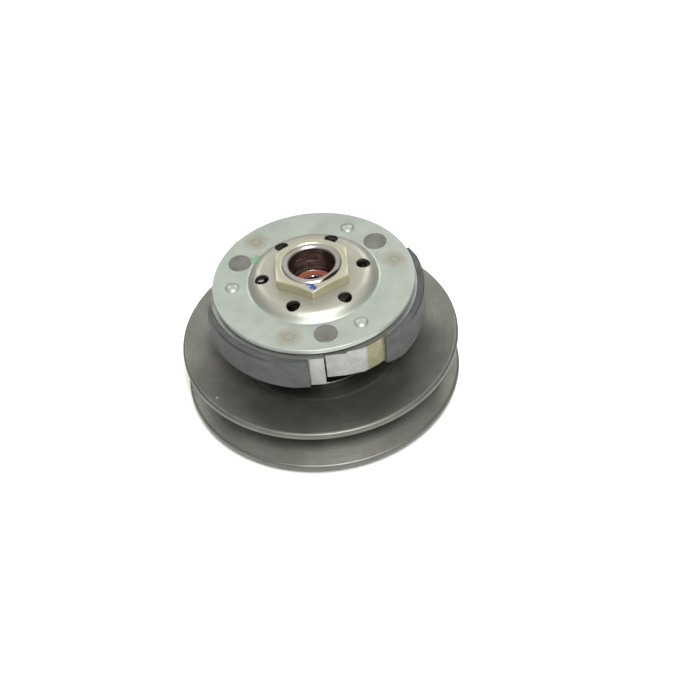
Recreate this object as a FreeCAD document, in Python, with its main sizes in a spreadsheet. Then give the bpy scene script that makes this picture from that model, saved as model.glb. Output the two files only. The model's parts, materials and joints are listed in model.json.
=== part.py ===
"""Driven pulley of a small scooter's belt drive, with its three-shoe centrifugal clutch.

The axis is +Z. The origin is on the axis at the hub's lower end, the lowest point of the assembly.
Angles are measured about the axis, and each body that repeats at the three pivots is drawn with
its first pivot on +X and then turned to its place.
"""
import FreeCAD, Part
import math
import os

import Sketcher

DIMENSIONS = (
    # belt discs
    ("sheave_radius", 67.0, "outer radius of both belt discs"),
    ("belt_half_angle", 13.5, "half of the angle of the belt groove, degrees"),
    ("groove_width", 19.6, "belt groove at the rims, with the discs closed"),
    ("fixed_rim_z", 4.2, "lower edge of the fixed disc's rim"),
    ("disc_thickness", 3.8, "height of a disc's wall"),
    ("disc_flat_radius", 28.0, "flat middle of a disc, where the cone ends"),
    ("rim_round", 1.4, "rounding of the rims"),
    ("turned_groove_radius", 39.2, "shallow groove on the back of the sliding disc"),
    ("turned_groove_width", 1.6, "width of that groove"),
    ("turned_groove_depth", 0.7, "depth of that groove"),
    ("travel", 12.0, "axial travel of the sliding disc"),
    ("turn_per_travel", 2.0, "turn of the sliding disc, degrees per millimetre of travel"),
    ("cutter_reach", 1.0, "how far a cutter reaches past the surface that it opens"),
    # hub
    ("hub_length", 76.0, "whole length of the hub"),
    ("hub_radius", 17.0, "ground outside of the hub"),
    ("hub_spigot_radius", 15.0, "lower end of the hub"),
    ("hub_flange_radius", 24.0, "flange under the fixed disc"),
    ("hub_flange_thickness", 3.2, "thickness of that flange"),
    ("thread_radius", 13.7, "pitch radius of the M28 x 1 thread"),
    ("hub_flat", 12.4, "distance of the two flats from the axis"),
    ("hub_flat_azimuth", 129.0, "direction of the two flats"),
    ("hub_bore", 11.0, "radius of the hub's bore"),
    ("hub_end_chamfer", 0.5, "chamfer of the hub's threaded end"),
    ("hub_bore_chamfer", 0.4, "chamfer of the bore at that end"),
    ("ball_shoulder_width", 1.1, "width of the shoulder under the ball bearing"),
    ("ball_shoulder_height", 1.5, "height of that shoulder"),
    # needle bearing, 17 mm shaft, 23 mm housing
    ("needle_seat_radius", 11.5, "housing radius"),
    ("needle_seat_depth", 18.0, "depth of the housing"),
    ("needle_cup_z", 1.0, "lower end of the cup"),
    ("needle_cup_length", 16.0, "length of the cup"),
    ("needle_cup_wall", 1.0, "wall of the cup"),
    ("needle_shaft_radius", 8.5, "radius of the shaft in the needles"),
    ("needle_radius", 0.97, "radius of a needle"),
    ("needle_length", 11.8, "length of a needle"),
    ("needle_count", 16, "number of needles"),
    ("needle_lip_gap", 0.4, "from the shaft to the cup's turned-in ends"),
    ("needle_lip_height", 0.8, "height of those ends"),
    ("needle_play", 0.02, "play of the needles on the shaft"),
    ("needle_pocket_play", 0.05, "play of a needle across its pocket"),
    ("needle_end_play", 0.1, "play of a needle along its pocket"),
    ("needle_cage_half", 0.45, "half of the needle cage's wall"),
    ("needle_cage_gap", 1.0, "from the cup's ends to the cage"),
    # ball bearing 12 x 21 x 5
    ("ball_seat_z", 57.0, "lower face of the ball bearing"),
    ("ball_bearing_width", 5.0, "width of the ball bearing"),
    ("ball_bearing_radius", 10.5, "outer radius of the ball bearing"),
    ("ball_shaft_radius", 6.0, "radius of the shaft in the ball bearing"),
    ("ball_pitch_radius", 8.25, "radius of the ball circle"),
    ("ball_radius", 1.15, "radius of a ball"),
    ("ball_groove_radius", 1.22, "radius of a raceway"),
    ("ball_count", 12, "number of balls"),
    ("seal_recess", 0.9, "depth of the recess for a bearing seal"),
    ("seal_recess_radius", 9.95, "outer radius of a bearing seal"),
    ("seal_lip_radius", 7.15, "inner radius of a bearing seal"),
    ("seal_gap", 0.05, "from a bearing seal to the inner ring"),
    ("seal_inset", 0.15, "from the bearing's face to its seal"),
    ("seal_thickness", 0.6, "thickness of a bearing seal"),
    ("ball_land_gap", 0.8, "from the ball circle to the rings' lands"),
    ("ball_cage_half", 0.4, "half of the ball cage's wall"),
    ("ball_cage_drop", 1.3, "ball cage below the balls' centres"),
    ("ball_cage_rise", 0.5, "ball cage above the balls' centres"),
    ("ball_pocket_play", 0.05, "play of a ball in its pocket"),
    # sleeve of the sliding disc
    ("sleeve_bore", 17.04, "running fit on the hub"),
    ("sleeve_radius", 21.5, "outside of the sleeve"),
    ("sleeve_top", 54.5, "upper end of the sleeve"),
    ("oil_seal_radius", 20.0, "housing radius of the oil seals"),
    ("oil_seal_height", 4.0, "height of an oil seal"),
    ("oil_seal_rim", 0.8, "wall of an oil seal's outer ring"),
    ("oil_seal_floor", 1.1, "thickness of an oil seal's floor"),
    ("oil_seal_lip_gap", 0.08, "from the hub to the seal's lip"),
    ("oil_seal_lip_root", 1.0, "reach of the lip at the floor's inside"),
    ("oil_seal_lip_width", 0.7, "width of the lip at its end"),
    ("oil_seal_lip_taper", 0.3, "reach of the lip at the floor's outside"),
    ("oil_seal_lip_drop", 0.6, "from the open side of the seal to the lip's end"),
    ("o_ring_low_z", 25.0, "height of the lower O-ring"),
    ("o_ring_high_z", 48.6, "height of the upper O-ring"),
    ("o_ring_wire", 0.9, "radius of the O-ring's section"),
    ("o_ring_groove_half", 1.2, "half of an O-ring groove's width"),
    ("o_ring_floor_play", 0.05, "from an O-ring to its groove's floor"),
    ("o_ring_fit", 0.02, "from an O-ring to the collar"),
    ("guide_pin_z", 42.6, "height of the guide pins in the hub"),
    ("guide_pin_radius", 2.2, "radius of a guide pin"),
    ("guide_pin_inset", 0.4, "from the hub's bore to a pin's inner end"),
    ("guide_pin_drop", 0.2, "from the sleeve's outside to a pin's outer end"),
    ("roller_radius", 3.5, "outer radius of a guide roller"),
    ("roller_gap", 0.15, "play of a roller in its cam slot"),
    ("roller_end_gap", 0.25, "gap at each end of a roller"),
    ("roller_play", 0.04, "play of a roller on its pin"),
    ("cam_slot_steps", 14, "cuts that make one cam slot"),
    # seal collar and main spring
    ("collar_bore", 21.55, "running fit on the sleeve"),
    ("collar_radius", 22.35, "outside of the seal collar"),
    ("collar_z", 22.4, "lower face of the collar's flange"),
    ("collar_top", 55.5, "upper end of the collar"),
    ("collar_flange_thickness", 1.2, "thickness of the spring seat"),
    ("collar_flange_margin", 1.2, "flange beyond the main spring"),
    ("spring_radius", 24.6, "mean radius of the main spring"),
    ("spring_wire", 2.0, "radius of the main spring's wire"),
    ("spring_half_turns", 11, "half turns of the main spring"),
    ("spring_play", 0.05, "play left at each end of the main spring"),
    # clutch plate and nut
    ("plate_top", 66.0, "upper face of the clutch plate"),
    ("plate_thickness", 2.5, "thickness of the clutch plate"),
    ("plate_radius", 47.7, "outer radius of the clutch plate"),
    ("dome_rise", 4.6, "height of the plate's raised middle"),
    ("dome_foot_radius", 30.85, "radius of the raised middle at its foot"),
    ("dome_shoulder_radius", 27.0, "radius of its flat top"),
    ("dome_under_radius", 25.85, "radius of the flat under the raised middle"),
    ("dome_shoulder_round", 7.0, "rounding of the raised middle's shoulder"),
    ("dome_foot_round", 2.0, "rounding of its foot"),
    ("plate_rim_round", 0.4, "rounding of the plate's rim"),
    ("hub_fit", 0.05, "play of the plate's hole on the hub"),
    ("tool_hole_circle", 23.95, "radius of the circle of six tool holes"),
    ("tool_hole_radius", 3.3, "radius of a tool hole"),
    ("tool_hole_azimuth", 29.85, "first tool hole, from the first pivot"),
    ("stud_circle", 38.3, "radius of the circle of stamped studs"),
    ("stud_azimuth", 26.15, "first stud, from the first pivot"),
    ("stud_ball", 4.8, "radius of a stud's rounded top"),
    ("stud_height", 1.25, "height of a stud over the plate"),
    ("stud_root", 1.0, "how far a stud's ball reaches into the plate"),
    ("nut_flat", 17.0, "half of the nut's width across flats"),
    ("nut_azimuth", 27.0, "direction of a corner of the nut"),
    ("nut_chamfer_radius", 14.5, "wide end of the nut's countersink"),
    ("nut_corner_drop", 1.3, "height of the chamfer at the nut's corners"),
    ("nut_face_step", 0.4, "from the nut's flats to its flat face, in radius"),
    ("nut_corner_margin", 0.5, "the chamfer's cutter beyond the nut's corners"),
    # pivots and stops
    ("pivot_azimuth", 33.75, "direction of the first pivot"),
    ("pivot_circle", 37.83, "radius of the circle of pivots"),
    ("pivot_radius", 4.0, "radius of a pivot pin"),
    ("pivot_head_radius", 5.5, "radius of a pivot pin's riveted head"),
    ("pivot_head_height", 0.35, "height of that head"),
    ("pivot_bottom", 54.2, "lower end of a pivot pin"),
    ("clip_groove_radius", 3.1, "pivot pin in its clip's groove"),
    ("clip_z", 55.4, "lower face of the retaining clips"),
    ("clip_thickness", 0.9, "thickness of a retaining clip"),
    ("clip_radius", 6.0, "outer radius of a retaining clip"),
    ("clip_play", 0.05, "play of a clip in its groove"),
    ("clip_bite", 0.4, "how far each side of a clip's mouth grips the groove"),
    ("washer_radius", 6.6, "outer radius of a pivot washer"),
    ("washer_gap", 0.1, "from a shoe's web to its washer"),
    ("washer_fit", 0.02, "play of a washer on its pin"),
    ("damper_azimuth", 95.55, "stop pin, from the pivot of its shoe"),
    ("damper_circle", 39.7, "radius of the circle of stop pins"),
    ("damper_pin_radius", 2.1, "radius of a stop pin"),
    ("damper_rubber_radius", 3.3, "outer radius of a stop pin's rubber"),
    ("damper_rubber_lift", 0.6, "from the stop pin's lower end to its rubber"),
    ("damper_rubber_gap", 0.3, "from the rubber to the plate"),
    ("damper_bottom", 55.6, "lower end of a stop pin"),
    # shoes, drawn as they stand in a 107 mm drum
    ("rest_angle", 2.5, "swing of a shoe from the drum back to rest, degrees"),
    ("drum_radius", 53.5, "radius of the drum that the linings reach"),
    ("lining_base_radius", 50.2, "shoe under its lining"),
    ("lining_start", 30.8, "angle where the lining starts"),
    ("lining_end", 105.2, "angle where the lining ends"),
    ("lining_start_taper", 2.2, "how much thinner the lining is where it starts"),
    ("lining_end_taper", 0.9, "how much thinner the lining is where it ends"),
    ("lining_taper_angle", 8.0, "angle over which each end is tapered"),
    ("lining_low", 45.6, "lower edge of the lining"),
    ("lining_high", 61.4, "upper edge of the lining"),
    ("heel_radius", 49.7, "heel of a shoe just before the lining"),
    ("heel_nose_radius", 46.4, "heel of a shoe at its nose"),
    ("heel_low", 46.8, "lower face of the heel"),
    ("toe_radius", 50.4, "outside of the toe"),
    ("toe_end", 113.2, "angle where the toe ends"),
    ("toe_low", 45.0, "lower face of the toe"),
    ("wall_high", 61.5, "top of the shoe's outer wall"),
    ("lining_gap", 0.2, "angle left free before the lining"),
    ("nose_start", -3.0, "angle where the heel's nose starts"),
    ("nose_end", 7.4, "angle where the nose ends"),
    ("nose_rise", 1.5, "how much the nose's radius grows"),
    ("nose_inset", 1.2, "how far the nose's inside lies inside the wall's"),
    ("inset_end", 20.0, "angle where that inset ends"),
    ("inset_fade", 24.0, "angle where the wall's inside starts"),
    ("wall_start", 9.0, "angle where the wall rises over the web"),
    ("heel_face_start", 17.2, "angle where the heel has its full radius"),
    ("wall_inner_radius", 45.8, "inside of a shoe's outer wall"),
    ("web_inner_radius", 33.5, "inside of a shoe's web"),
    ("web_low", 56.6, "lower face of the web"),
    ("web_high", 60.6, "upper face of the web"),
    ("web_overlap", 0.7, "how far the web runs into the wall"),
    ("web_inner_start", 14.0, "angle where the web's inside starts"),
    ("web_outer_start", 2.0, "angle where the web's outside starts"),
    ("web_outer_end", 92.7, "angle where the web's outside ends"),
    ("web_inner_end", 68.0, "angle where the web's inside ends"),
    ("boss_radius", 6.8, "boss round the pivot"),
    ("pivot_play", 0.05, "play of a shoe or washer on its pivot"),
    ("hook_hole_radius", 1.6, "hole for a spring's hook"),
    ("toe_hook_radius", 42.0, "spring hole near the toe"),
    ("toe_hook_azimuth", 78.5, "its angle from the pivot"),
    ("heel_hook_radius", 41.6, "spring hole near the heel"),
    ("heel_hook_azimuth", 23.6, "its angle from the pivot"),
    ("shoe_spring_radius", 2.65, "mean radius of a shoe spring"),
    ("shoe_spring_wire", 0.55, "radius of its wire"),
    ("shoe_spring_z", 50.0, "height of a shoe spring's axis"),
    ("shoe_spring_length", 27.0, "coiled length of a shoe spring"),
    ("shoe_spring_turns", 19, "turns of a shoe spring"),
)

PIVOTS = 3
TOOL_HOLES = 6
Z_AXIS = FreeCAD.Vector(0, 0, 1)
HERE = FreeCAD.Vector(0, 0, 0)

# Heights and radii that follow from the driving dimensions, as expressions on the sheet.
FIXED_FACE_EDGE = "size.fixed_rim_z + size.disc_thickness"
SLIDING_FACE_EDGE = f"({FIXED_FACE_EDGE} + size.groove_width)"
CONE_DROP = "((size.sheave_radius - size.disc_flat_radius) * tan(size.belt_half_angle))"
FIXED_FLAT_TOP = f"({FIXED_FACE_EDGE} + {CONE_DROP})"
FIXED_FLAT_LOW = f"(size.fixed_rim_z + {CONE_DROP})"
SLIDING_FLAT_LOW = f"({SLIDING_FACE_EDGE} - {CONE_DROP})"
SLIDING_FLAT_TOP = f"({SLIDING_FLAT_LOW} + size.disc_thickness)"
DOME_TOP = "(size.plate_top + size.dome_rise)"
DOME_UNDER = f"({DOME_TOP} - size.plate_thickness)"
PLATE_UNDER = "(size.plate_top - size.plate_thickness)"
SPRING_SEAT = "(size.collar_z + size.collar_flange_thickness)"

document = FreeCAD.newDocument("driven_pulley")
sub_parts = []


def fill_sheet():
    """Write the driving dimensions into the sheet: name, value and meaning."""
    sheet = document.addObject("Spreadsheet::Sheet", "size")
    for row, (alias, value, meaning) in enumerate(DIMENSIONS, start=1):
        sheet.set(f"A{row}", alias)
        sheet.set(f"B{row}", str(value))
        sheet.set(f"C{row}", meaning)
        sheet.setAlias(f"B{row}", alias)
    document.recompute()
    return sheet


size = fill_sheet()


def value_of(expression):
    """The number that an expression on the sheet stands for now."""
    return float(size.evalExpression(expression))


def add_body(name, placement=FreeCAD.Placement()):
    """A sub-part: its label becomes the name of its file."""
    body = document.addObject("PartDesign::Body", name)
    body.Label = name
    body.AllowCompound = True
    body.Placement = placement
    sub_parts.append(body)
    return body


def turned(degrees):
    """A turn about the pulley's axis."""
    return FreeCAD.Placement(HERE, FreeCAD.Rotation(Z_AXIS, degrees))


def first_pivot_place():
    return turned(value_of("size.pivot_azimuth"))


def origin_of(body, role):
    return next(item for item in body.Origin.OriginFeatures if item.Role == role)


def add_sketch(body, role, height="0"):
    """A sketch on one of the body's own planes; height moves it along the plane's normal."""
    sketch = body.newObject("Sketcher::SketchObject", f"{body.Name}_sketch")
    sketch.AttachmentSupport = [(origin_of(body, role), "")]
    sketch.MapMode = "FlatFace"
    if height != "0":
        sketch.setExpression("AttachmentOffset.Base.z", height)
    return sketch


def bind(sketch, kind, place, expression):
    """A dimension of the sketch that follows an expression."""
    number = sketch.addConstraint(Sketcher.Constraint(kind, *place, value_of(expression)))
    sketch.setExpression(f"Constraints[{number}]", expression)


def place_point(sketch, element, end, across, up):
    bind(sketch, "DistanceX", (-1, 1, element, end), across)
    bind(sketch, "DistanceY", (-1, 1, element, end), up)


def join_sides(sketch, first, count):
    for side in range(count):
        following = first + (side + 1) % count
        sketch.addConstraint(Sketcher.Constraint("Coincident", first + side, 2, following, 1))


def draw_polygon(sketch, corners):
    """Straight sides through corners given as (across, up) expressions."""
    points = [FreeCAD.Vector(value_of(x), value_of(y), 0) for x, y in corners]
    first = sketch.GeometryCount
    for start, end in zip(points, points[1:] + points[:1]):
        sketch.addGeometry(Part.LineSegment(start, end))
    join_sides(sketch, first, len(corners))
    for side, (across, up) in enumerate(corners):
        place_point(sketch, first + side, 1, across, up)


def draw_circle(sketch, across, up, radius):
    centre = FreeCAD.Vector(value_of(across), value_of(up), 0)
    element = sketch.addGeometry(Part.Circle(centre, Z_AXIS, value_of(radius)))
    place_point(sketch, element, 3, across, up)
    bind(sketch, "Radius", (element,), radius)


def polar(radius, angle):
    """Expressions for a point's two coordinates from its radius and angle."""
    return f"({radius}) * cos({angle})", f"({radius}) * sin({angle})"


def draw_sector_outline(sketch, corners):
    """Sides through corners given as (radius, angle, side); side says how the next corner is
    reached: "line", or "arc" about the pulley's axis, counter-clockwise or clockwise."""
    first = sketch.GeometryCount
    count = len(corners)
    for side, (radius, angle, shape) in enumerate(corners):
        next_radius, next_angle = corners[(side + 1) % count][:2]
        start = FreeCAD.Vector(*(value_of(part) for part in polar(radius, angle)), 0)
        end = FreeCAD.Vector(*(value_of(part) for part in polar(next_radius, next_angle)), 0)
        if shape == "line":
            sketch.addGeometry(Part.LineSegment(start, end))
            continue
        circle = Part.Circle(HERE, Z_AXIS, value_of(radius))
        angles = [math.radians(value_of(angle)), math.radians(value_of(next_angle))]
        sketch.addGeometry(Part.ArcOfCircle(circle, min(angles), max(angles)))
    for side, (radius, angle, shape) in enumerate(corners):
        following = (side + 1) % count
        here_end = end_of_side(corners, side, leaving=True)
        next_end = end_of_side(corners, following, leaving=False)
        sketch.addConstraint(
            Sketcher.Constraint("Coincident", first + side, here_end, first + following, next_end)
        )
        if shape == "arc":
            sketch.addConstraint(Sketcher.Constraint("Coincident", first + side, 3, -1, 1))
        pin_corner(sketch, corners, first, side)


def end_of_side(corners, side, leaving):
    """Which end of a side's curve is its last (leaving) or first point: an arc always runs
    counter-clockwise, so a clockwise one is met at its far end."""
    angle, shape = corners[side][1:]
    next_angle = corners[(side + 1) % len(corners)][1]
    clockwise = shape == "arc" and value_of(next_angle) < value_of(angle)
    return 2 if leaving != clockwise else 1


def pin_corner(sketch, corners, first, side):
    """Fix a corner in both directions, or along the arc alone where an arc arrives at it."""
    radius, angle = corners[side][:2]
    end = end_of_side(corners, side, leaving=False)
    across, up = polar(radius, angle)
    arrives_by_arc = corners[side - 1][2] == "arc"
    sideways = abs(math.sin(math.radians(value_of(angle)))) > math.sqrt(0.5)
    if sideways or not arrives_by_arc:
        bind(sketch, "DistanceX", (-1, 1, first + side, end), across)
    if not sideways or not arrives_by_arc:
        bind(sketch, "DistanceY", (-1, 1, first + side, end), up)


def revolve(body, corners, kind="Revolution"):
    """Turn an outline of (radius, height) corners once about the axis."""
    sketch = add_sketch(body, "XZ_Plane")
    draw_polygon(sketch, corners)
    return turn_sketch(body, sketch, kind)


def turn_sketch(body, sketch, kind="Revolution"):
    feature = body.newObject(f"PartDesign::{kind}", f"{body.Name}_{kind}")
    feature.Profile = sketch
    feature.ReferenceAxis = (sketch, ["V_Axis"])
    feature.Angle = 360
    body.Tip = feature
    return feature


def pad(body, sketch, low, high):
    """Raise a sketch, already at the height low, up to the height high."""
    feature = body.newObject("PartDesign::Pad", f"{body.Name}_pad")
    feature.Profile = sketch
    feature.setExpression("Length", f"({high}) - ({low})")
    body.Tip = feature
    return feature


def pocket(body, sketch, low, high):
    """Cut a sketch, already at the height low, out up to the height high."""
    feature = body.newObject("PartDesign::Pocket", f"{body.Name}_pocket")
    feature.Profile = sketch
    feature.Reversed = True
    feature.setExpression("Length", f"({high}) - ({low})")
    body.Tip = feature
    return feature


def round_post(body, position, radius, low, high, shape=pad):
    """A round post, or with shape=pocket a round hole, standing at a (radius, angle) position."""
    sketch = add_sketch(body, "XY_Plane", low)
    draw_circle(sketch, *polar(*position), radius)
    return shape(body, sketch, low, high)


def sector(body, corners, low, high, shape=pad):
    sketch = add_sketch(body, "XY_Plane", low)
    draw_sector_outline(sketch, corners)
    return shape(body, sketch, low, high)


def repeat(body, features, count):
    """The same features at equal steps about the axis."""
    pattern = body.newObject("PartDesign::PolarPattern", f"{body.Name}_pattern")
    pattern.Originals = features
    pattern.Axis = (origin_of(body, "Z_Axis"), [""])
    pattern.Angle = 360
    pattern.Occurrences = count
    body.Tip = pattern
    return pattern


def round_edges(body, circles, radius):
    """Round the circular edges about the axis that lie at the given (radius, height) pairs."""
    document.recompute()
    base = body.Tip
    wanted = [(value_of(ring), value_of(height)) for ring, height in circles]
    names = []
    for number, edge in enumerate(base.Shape.Edges, start=1):
        if not isinstance(edge.Curve, Part.Circle):
            continue
        found = (edge.Curve.Radius, edge.Curve.Center.z)
        if any(math.dist(found, place) < 0.01 for place in wanted):
            names.append(f"Edge{number}")
    fillet = body.newObject("PartDesign::Fillet", f"{body.Name}_fillet")
    fillet.Base = (base, names)
    fillet.setExpression("Radius", radius)
    body.Tip = fillet


def primitive(body, kind, placement, **sizes):
    """A PartDesign primitive, such as AdditiveSphere, whose sizes follow expressions."""
    feature = body.newObject(f"PartDesign::{kind}", f"{body.Name}_{kind}")
    for name, expression in sizes.items():
        feature.setExpression(name, expression)
    feature.Placement = placement
    body.Tip = feature
    return feature


def radial(angle, distance, height):
    """A place on the radius at angle, with its own Z pointing away from the pulley's axis."""
    outward = FreeCAD.Rotation(Z_AXIS, angle).multiply(FreeCAD.Rotation(FreeCAD.Vector(0, 1, 0), 90))
    across = FreeCAD.Rotation(Z_AXIS, angle).multVec(FreeCAD.Vector(distance, 0, height))
    return FreeCAD.Placement(across, outward)


# ---------------------------------------------------------------- belt discs and hub


def make_fixed_sheave():
    """Pressed steel disc: flat middle on the hub's flange, cone out to the rim."""
    body = add_body("fixed_sheave")
    revolve(body, (
        ("size.hub_radius", FIXED_FLAT_LOW),
        ("size.disc_flat_radius", FIXED_FLAT_LOW),
        ("size.sheave_radius", "size.fixed_rim_z"),
        ("size.sheave_radius", FIXED_FACE_EDGE),
        ("size.disc_flat_radius", FIXED_FLAT_TOP),
        ("size.hub_radius", FIXED_FLAT_TOP),
    ))
    rims = (("size.sheave_radius", "size.fixed_rim_z"), ("size.sheave_radius", FIXED_FACE_EDGE))
    round_edges(body, rims, "size.rim_round")


def make_sliding_sheave():
    """The opposite disc, with a shallow turned groove on its back."""
    body = add_body("sliding_sheave")
    rim_top = f"({SLIDING_FACE_EDGE} + size.disc_thickness)"
    revolve(body, (
        ("size.sleeve_radius", SLIDING_FLAT_LOW),
        ("size.disc_flat_radius", SLIDING_FLAT_LOW),
        ("size.sheave_radius", SLIDING_FACE_EDGE),
        ("size.sheave_radius", rim_top),
        ("size.disc_flat_radius", SLIDING_FLAT_TOP),
        ("size.sleeve_radius", SLIDING_FLAT_TOP),
    ))
    groove_in = "(size.turned_groove_radius - size.turned_groove_width / 2)"
    groove_out = "(size.turned_groove_radius + size.turned_groove_width / 2)"
    back = f"({rim_top} - (size.sheave_radius - size.turned_groove_radius) * tan(size.belt_half_angle))"
    revolve(body, (
        (groove_in, f"{back} - size.turned_groove_depth"),
        (groove_out, f"{back} - size.turned_groove_depth"),
        (groove_out, f"{back} + size.cutter_reach"),
        (groove_in, f"{back} + size.cutter_reach"),
    ), kind="Groove")
    rims = (("size.sheave_radius", SLIDING_FACE_EDGE), ("size.sheave_radius", rim_top))
    round_edges(body, rims, "size.rim_round")


def make_fixed_hub():
    """Stepped tube: bearing seats inside, flange below, two flats and a thread at the top."""
    body = add_body("fixed_hub", turned(value_of("size.hub_flat_azimuth")))
    flange_low = f"({FIXED_FLAT_LOW} - size.hub_flange_thickness)"
    ball_top = "(size.ball_seat_z + size.ball_bearing_width)"
    shoulder_radius = "(size.ball_bearing_radius - size.ball_shoulder_width)"
    shoulder_low = "(size.ball_seat_z - size.ball_shoulder_height)"
    revolve(body, (
        ("size.needle_seat_radius", "0"),
        ("size.hub_spigot_radius", "0"),
        ("size.hub_spigot_radius", flange_low),
        ("size.hub_flange_radius", flange_low),
        ("size.hub_flange_radius", FIXED_FLAT_LOW),
        ("size.hub_radius", FIXED_FLAT_LOW),
        ("size.hub_radius", DOME_UNDER),
        ("size.thread_radius", DOME_UNDER),
        ("size.thread_radius", "size.hub_length - size.hub_end_chamfer"),
        ("size.thread_radius - size.hub_end_chamfer", "size.hub_length"),
        ("size.hub_bore + size.hub_bore_chamfer", "size.hub_length"),
        ("size.hub_bore", "size.hub_length - size.hub_bore_chamfer"),
        ("size.hub_bore", ball_top),
        ("size.ball_bearing_radius", ball_top),
        ("size.ball_bearing_radius", "size.ball_seat_z"),
        (shoulder_radius, "size.ball_seat_z"),
        (shoulder_radius, shoulder_low),
        ("size.hub_bore", shoulder_low),
        ("size.hub_bore", "size.needle_seat_depth"),
        ("size.needle_seat_radius", "size.needle_seat_depth"),
    ))
    flat = add_sketch(body, "XY_Plane", DOME_UNDER)
    draw_polygon(flat, (
        ("size.hub_flat", "-size.hub_radius"),
        ("size.hub_radius", "-size.hub_radius"),
        ("size.hub_radius", "size.hub_radius"),
        ("size.hub_flat", "size.hub_radius"),
    ))
    cut = pocket(body, flat, DOME_UNDER, "size.hub_length")
    repeat(body, [cut], 2)
    first_pin = value_of("size.pivot_azimuth - size.hub_flat_azimuth")
    for pin in range(PIVOTS):
        primitive(
            body,
            "SubtractiveCylinder",
            radial(first_pin + 360 / PIVOTS * pin, 0, value_of("size.guide_pin_z")),
            Radius="size.guide_pin_radius",
            Height="size.hub_radius + size.cutter_reach",
        )


# ---------------------------------------------------------------- bearings


def make_needle_bearing():
    """Drawn cup with turned-in ends, a ring of needles and their cage."""
    cup = add_body("needle_cup")
    low = "size.needle_cup_z"
    high = "(size.needle_cup_z + size.needle_cup_length)"
    race = "(size.needle_seat_radius - size.needle_cup_wall)"
    lip = "(size.needle_shaft_radius + size.needle_lip_gap)"
    lip_top = f"({low} + size.needle_lip_height)"
    upper_lip_low = f"({high} - size.needle_lip_height)"
    revolve(cup, (
        (lip, low),
        ("size.needle_seat_radius", low),
        ("size.needle_seat_radius", high),
        (lip, high),
        (lip, upper_lip_low),
        (race, upper_lip_low),
        (race, lip_top),
        (lip, lip_top),
    ))
    needle_ring = "(size.needle_shaft_radius + size.needle_radius + size.needle_play)"
    needle_low = f"({low} + (size.needle_cup_length - size.needle_length) / 2)"
    needle_high = f"({needle_low} + size.needle_length)"
    rollers = add_body("needle_rollers")
    needle = round_post(
        rollers, (needle_ring, "0"), "size.needle_radius", needle_low, needle_high
    )
    repeat(rollers, [needle], int(value_of("size.needle_count")))
    cage = add_body("needle_cage")
    cage_low = f"{low} + size.needle_cage_gap"
    cage_high = f"{high} - size.needle_cage_gap"
    revolve(cage, (
        (f"{needle_ring} - size.needle_cage_half", cage_low),
        (f"{needle_ring} + size.needle_cage_half", cage_low),
        (f"{needle_ring} + size.needle_cage_half", cage_high),
        (f"{needle_ring} - size.needle_cage_half", cage_high),
    ))
    window = round_post(
        cage, (needle_ring, "0"), "size.needle_radius + size.needle_pocket_play",
        f"{needle_low} - size.needle_end_play", f"{needle_high} + size.needle_end_play",
        shape=pocket,
    )
    repeat(cage, [window], int(value_of("size.needle_count")))


def race_outline(sketch, bore, land, groove_side):
    """Half-section of a race: a plain ring; groove_side is the land that faces the balls."""
    low = "size.ball_seat_z"
    high = "(size.ball_seat_z + size.ball_bearing_width)"
    step_low = f"{low} + size.seal_recess"
    step_high = f"{high} - size.seal_recess"
    draw_polygon(sketch, (
        (bore, low),
        (land, low),
        (land, step_low),
        (groove_side, step_low),
        (groove_side, step_high),
        (land, step_high),
        (land, high),
        (bore, high),
    ))


def make_ball_race(name, bore, land, groove_side):
    body = add_body(name)
    sketch = add_sketch(body, "XZ_Plane")
    race_outline(sketch, bore, land, groove_side)
    turn_sketch(body, sketch)
    raceway = add_sketch(body, "XZ_Plane")
    middle = "(size.ball_seat_z + size.ball_bearing_width / 2)"
    draw_circle(raceway, "size.ball_pitch_radius", middle, "size.ball_groove_radius")
    turn_sketch(body, raceway, kind="Groove")


def make_ball_bearing():
    """Deep-groove bearing with two rubber seals."""
    middle = value_of("size.ball_seat_z + size.ball_bearing_width / 2")
    make_ball_race(
        "ball_outer_race", "size.ball_bearing_radius", "size.seal_recess_radius",
        "(size.ball_pitch_radius + size.ball_land_gap)",
    )
    make_ball_race(
        "ball_inner_race", "size.ball_shaft_radius", "(size.seal_lip_radius - size.seal_gap)",
        "(size.ball_pitch_radius - size.ball_land_gap)",
    )
    at_ball = FreeCAD.Placement(
        FreeCAD.Vector(value_of("size.ball_pitch_radius"), 0, middle), FreeCAD.Rotation()
    )
    count = int(value_of("size.ball_count"))
    balls = add_body("balls")
    ball = primitive(balls, "AdditiveSphere", at_ball, Radius="size.ball_radius")
    repeat(balls, [ball], count)
    cage = add_body("ball_cage")
    cage_inner = "size.ball_pitch_radius - size.ball_cage_half"
    cage_outer = "size.ball_pitch_radius + size.ball_cage_half"
    revolve(cage, (
        (cage_inner, f"{middle} - size.ball_cage_drop"),
        (cage_outer, f"{middle} - size.ball_cage_drop"),
        (cage_outer, f"{middle} + size.ball_cage_rise"),
        (cage_inner, f"{middle} + size.ball_cage_rise"),
    ))
    cell = primitive(
        cage, "SubtractiveSphere", at_ball, Radius="size.ball_radius + size.ball_pocket_play"
    )
    repeat(cage, [cell], count)
    seals = add_body("bearing_seals")
    lower = "size.ball_seat_z + size.seal_inset"
    upper = "size.ball_seat_z + size.ball_bearing_width - size.seal_inset - size.seal_thickness"
    for low in (lower, upper):
        revolve(seals, (
            ("size.seal_lip_radius", low),
            ("size.seal_recess_radius", low),
            ("size.seal_recess_radius", f"{low} + size.seal_thickness"),
            ("size.seal_lip_radius", f"{low} + size.seal_thickness"),
        ))


# ---------------------------------------------------------------- sleeve, guides and spring


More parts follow.
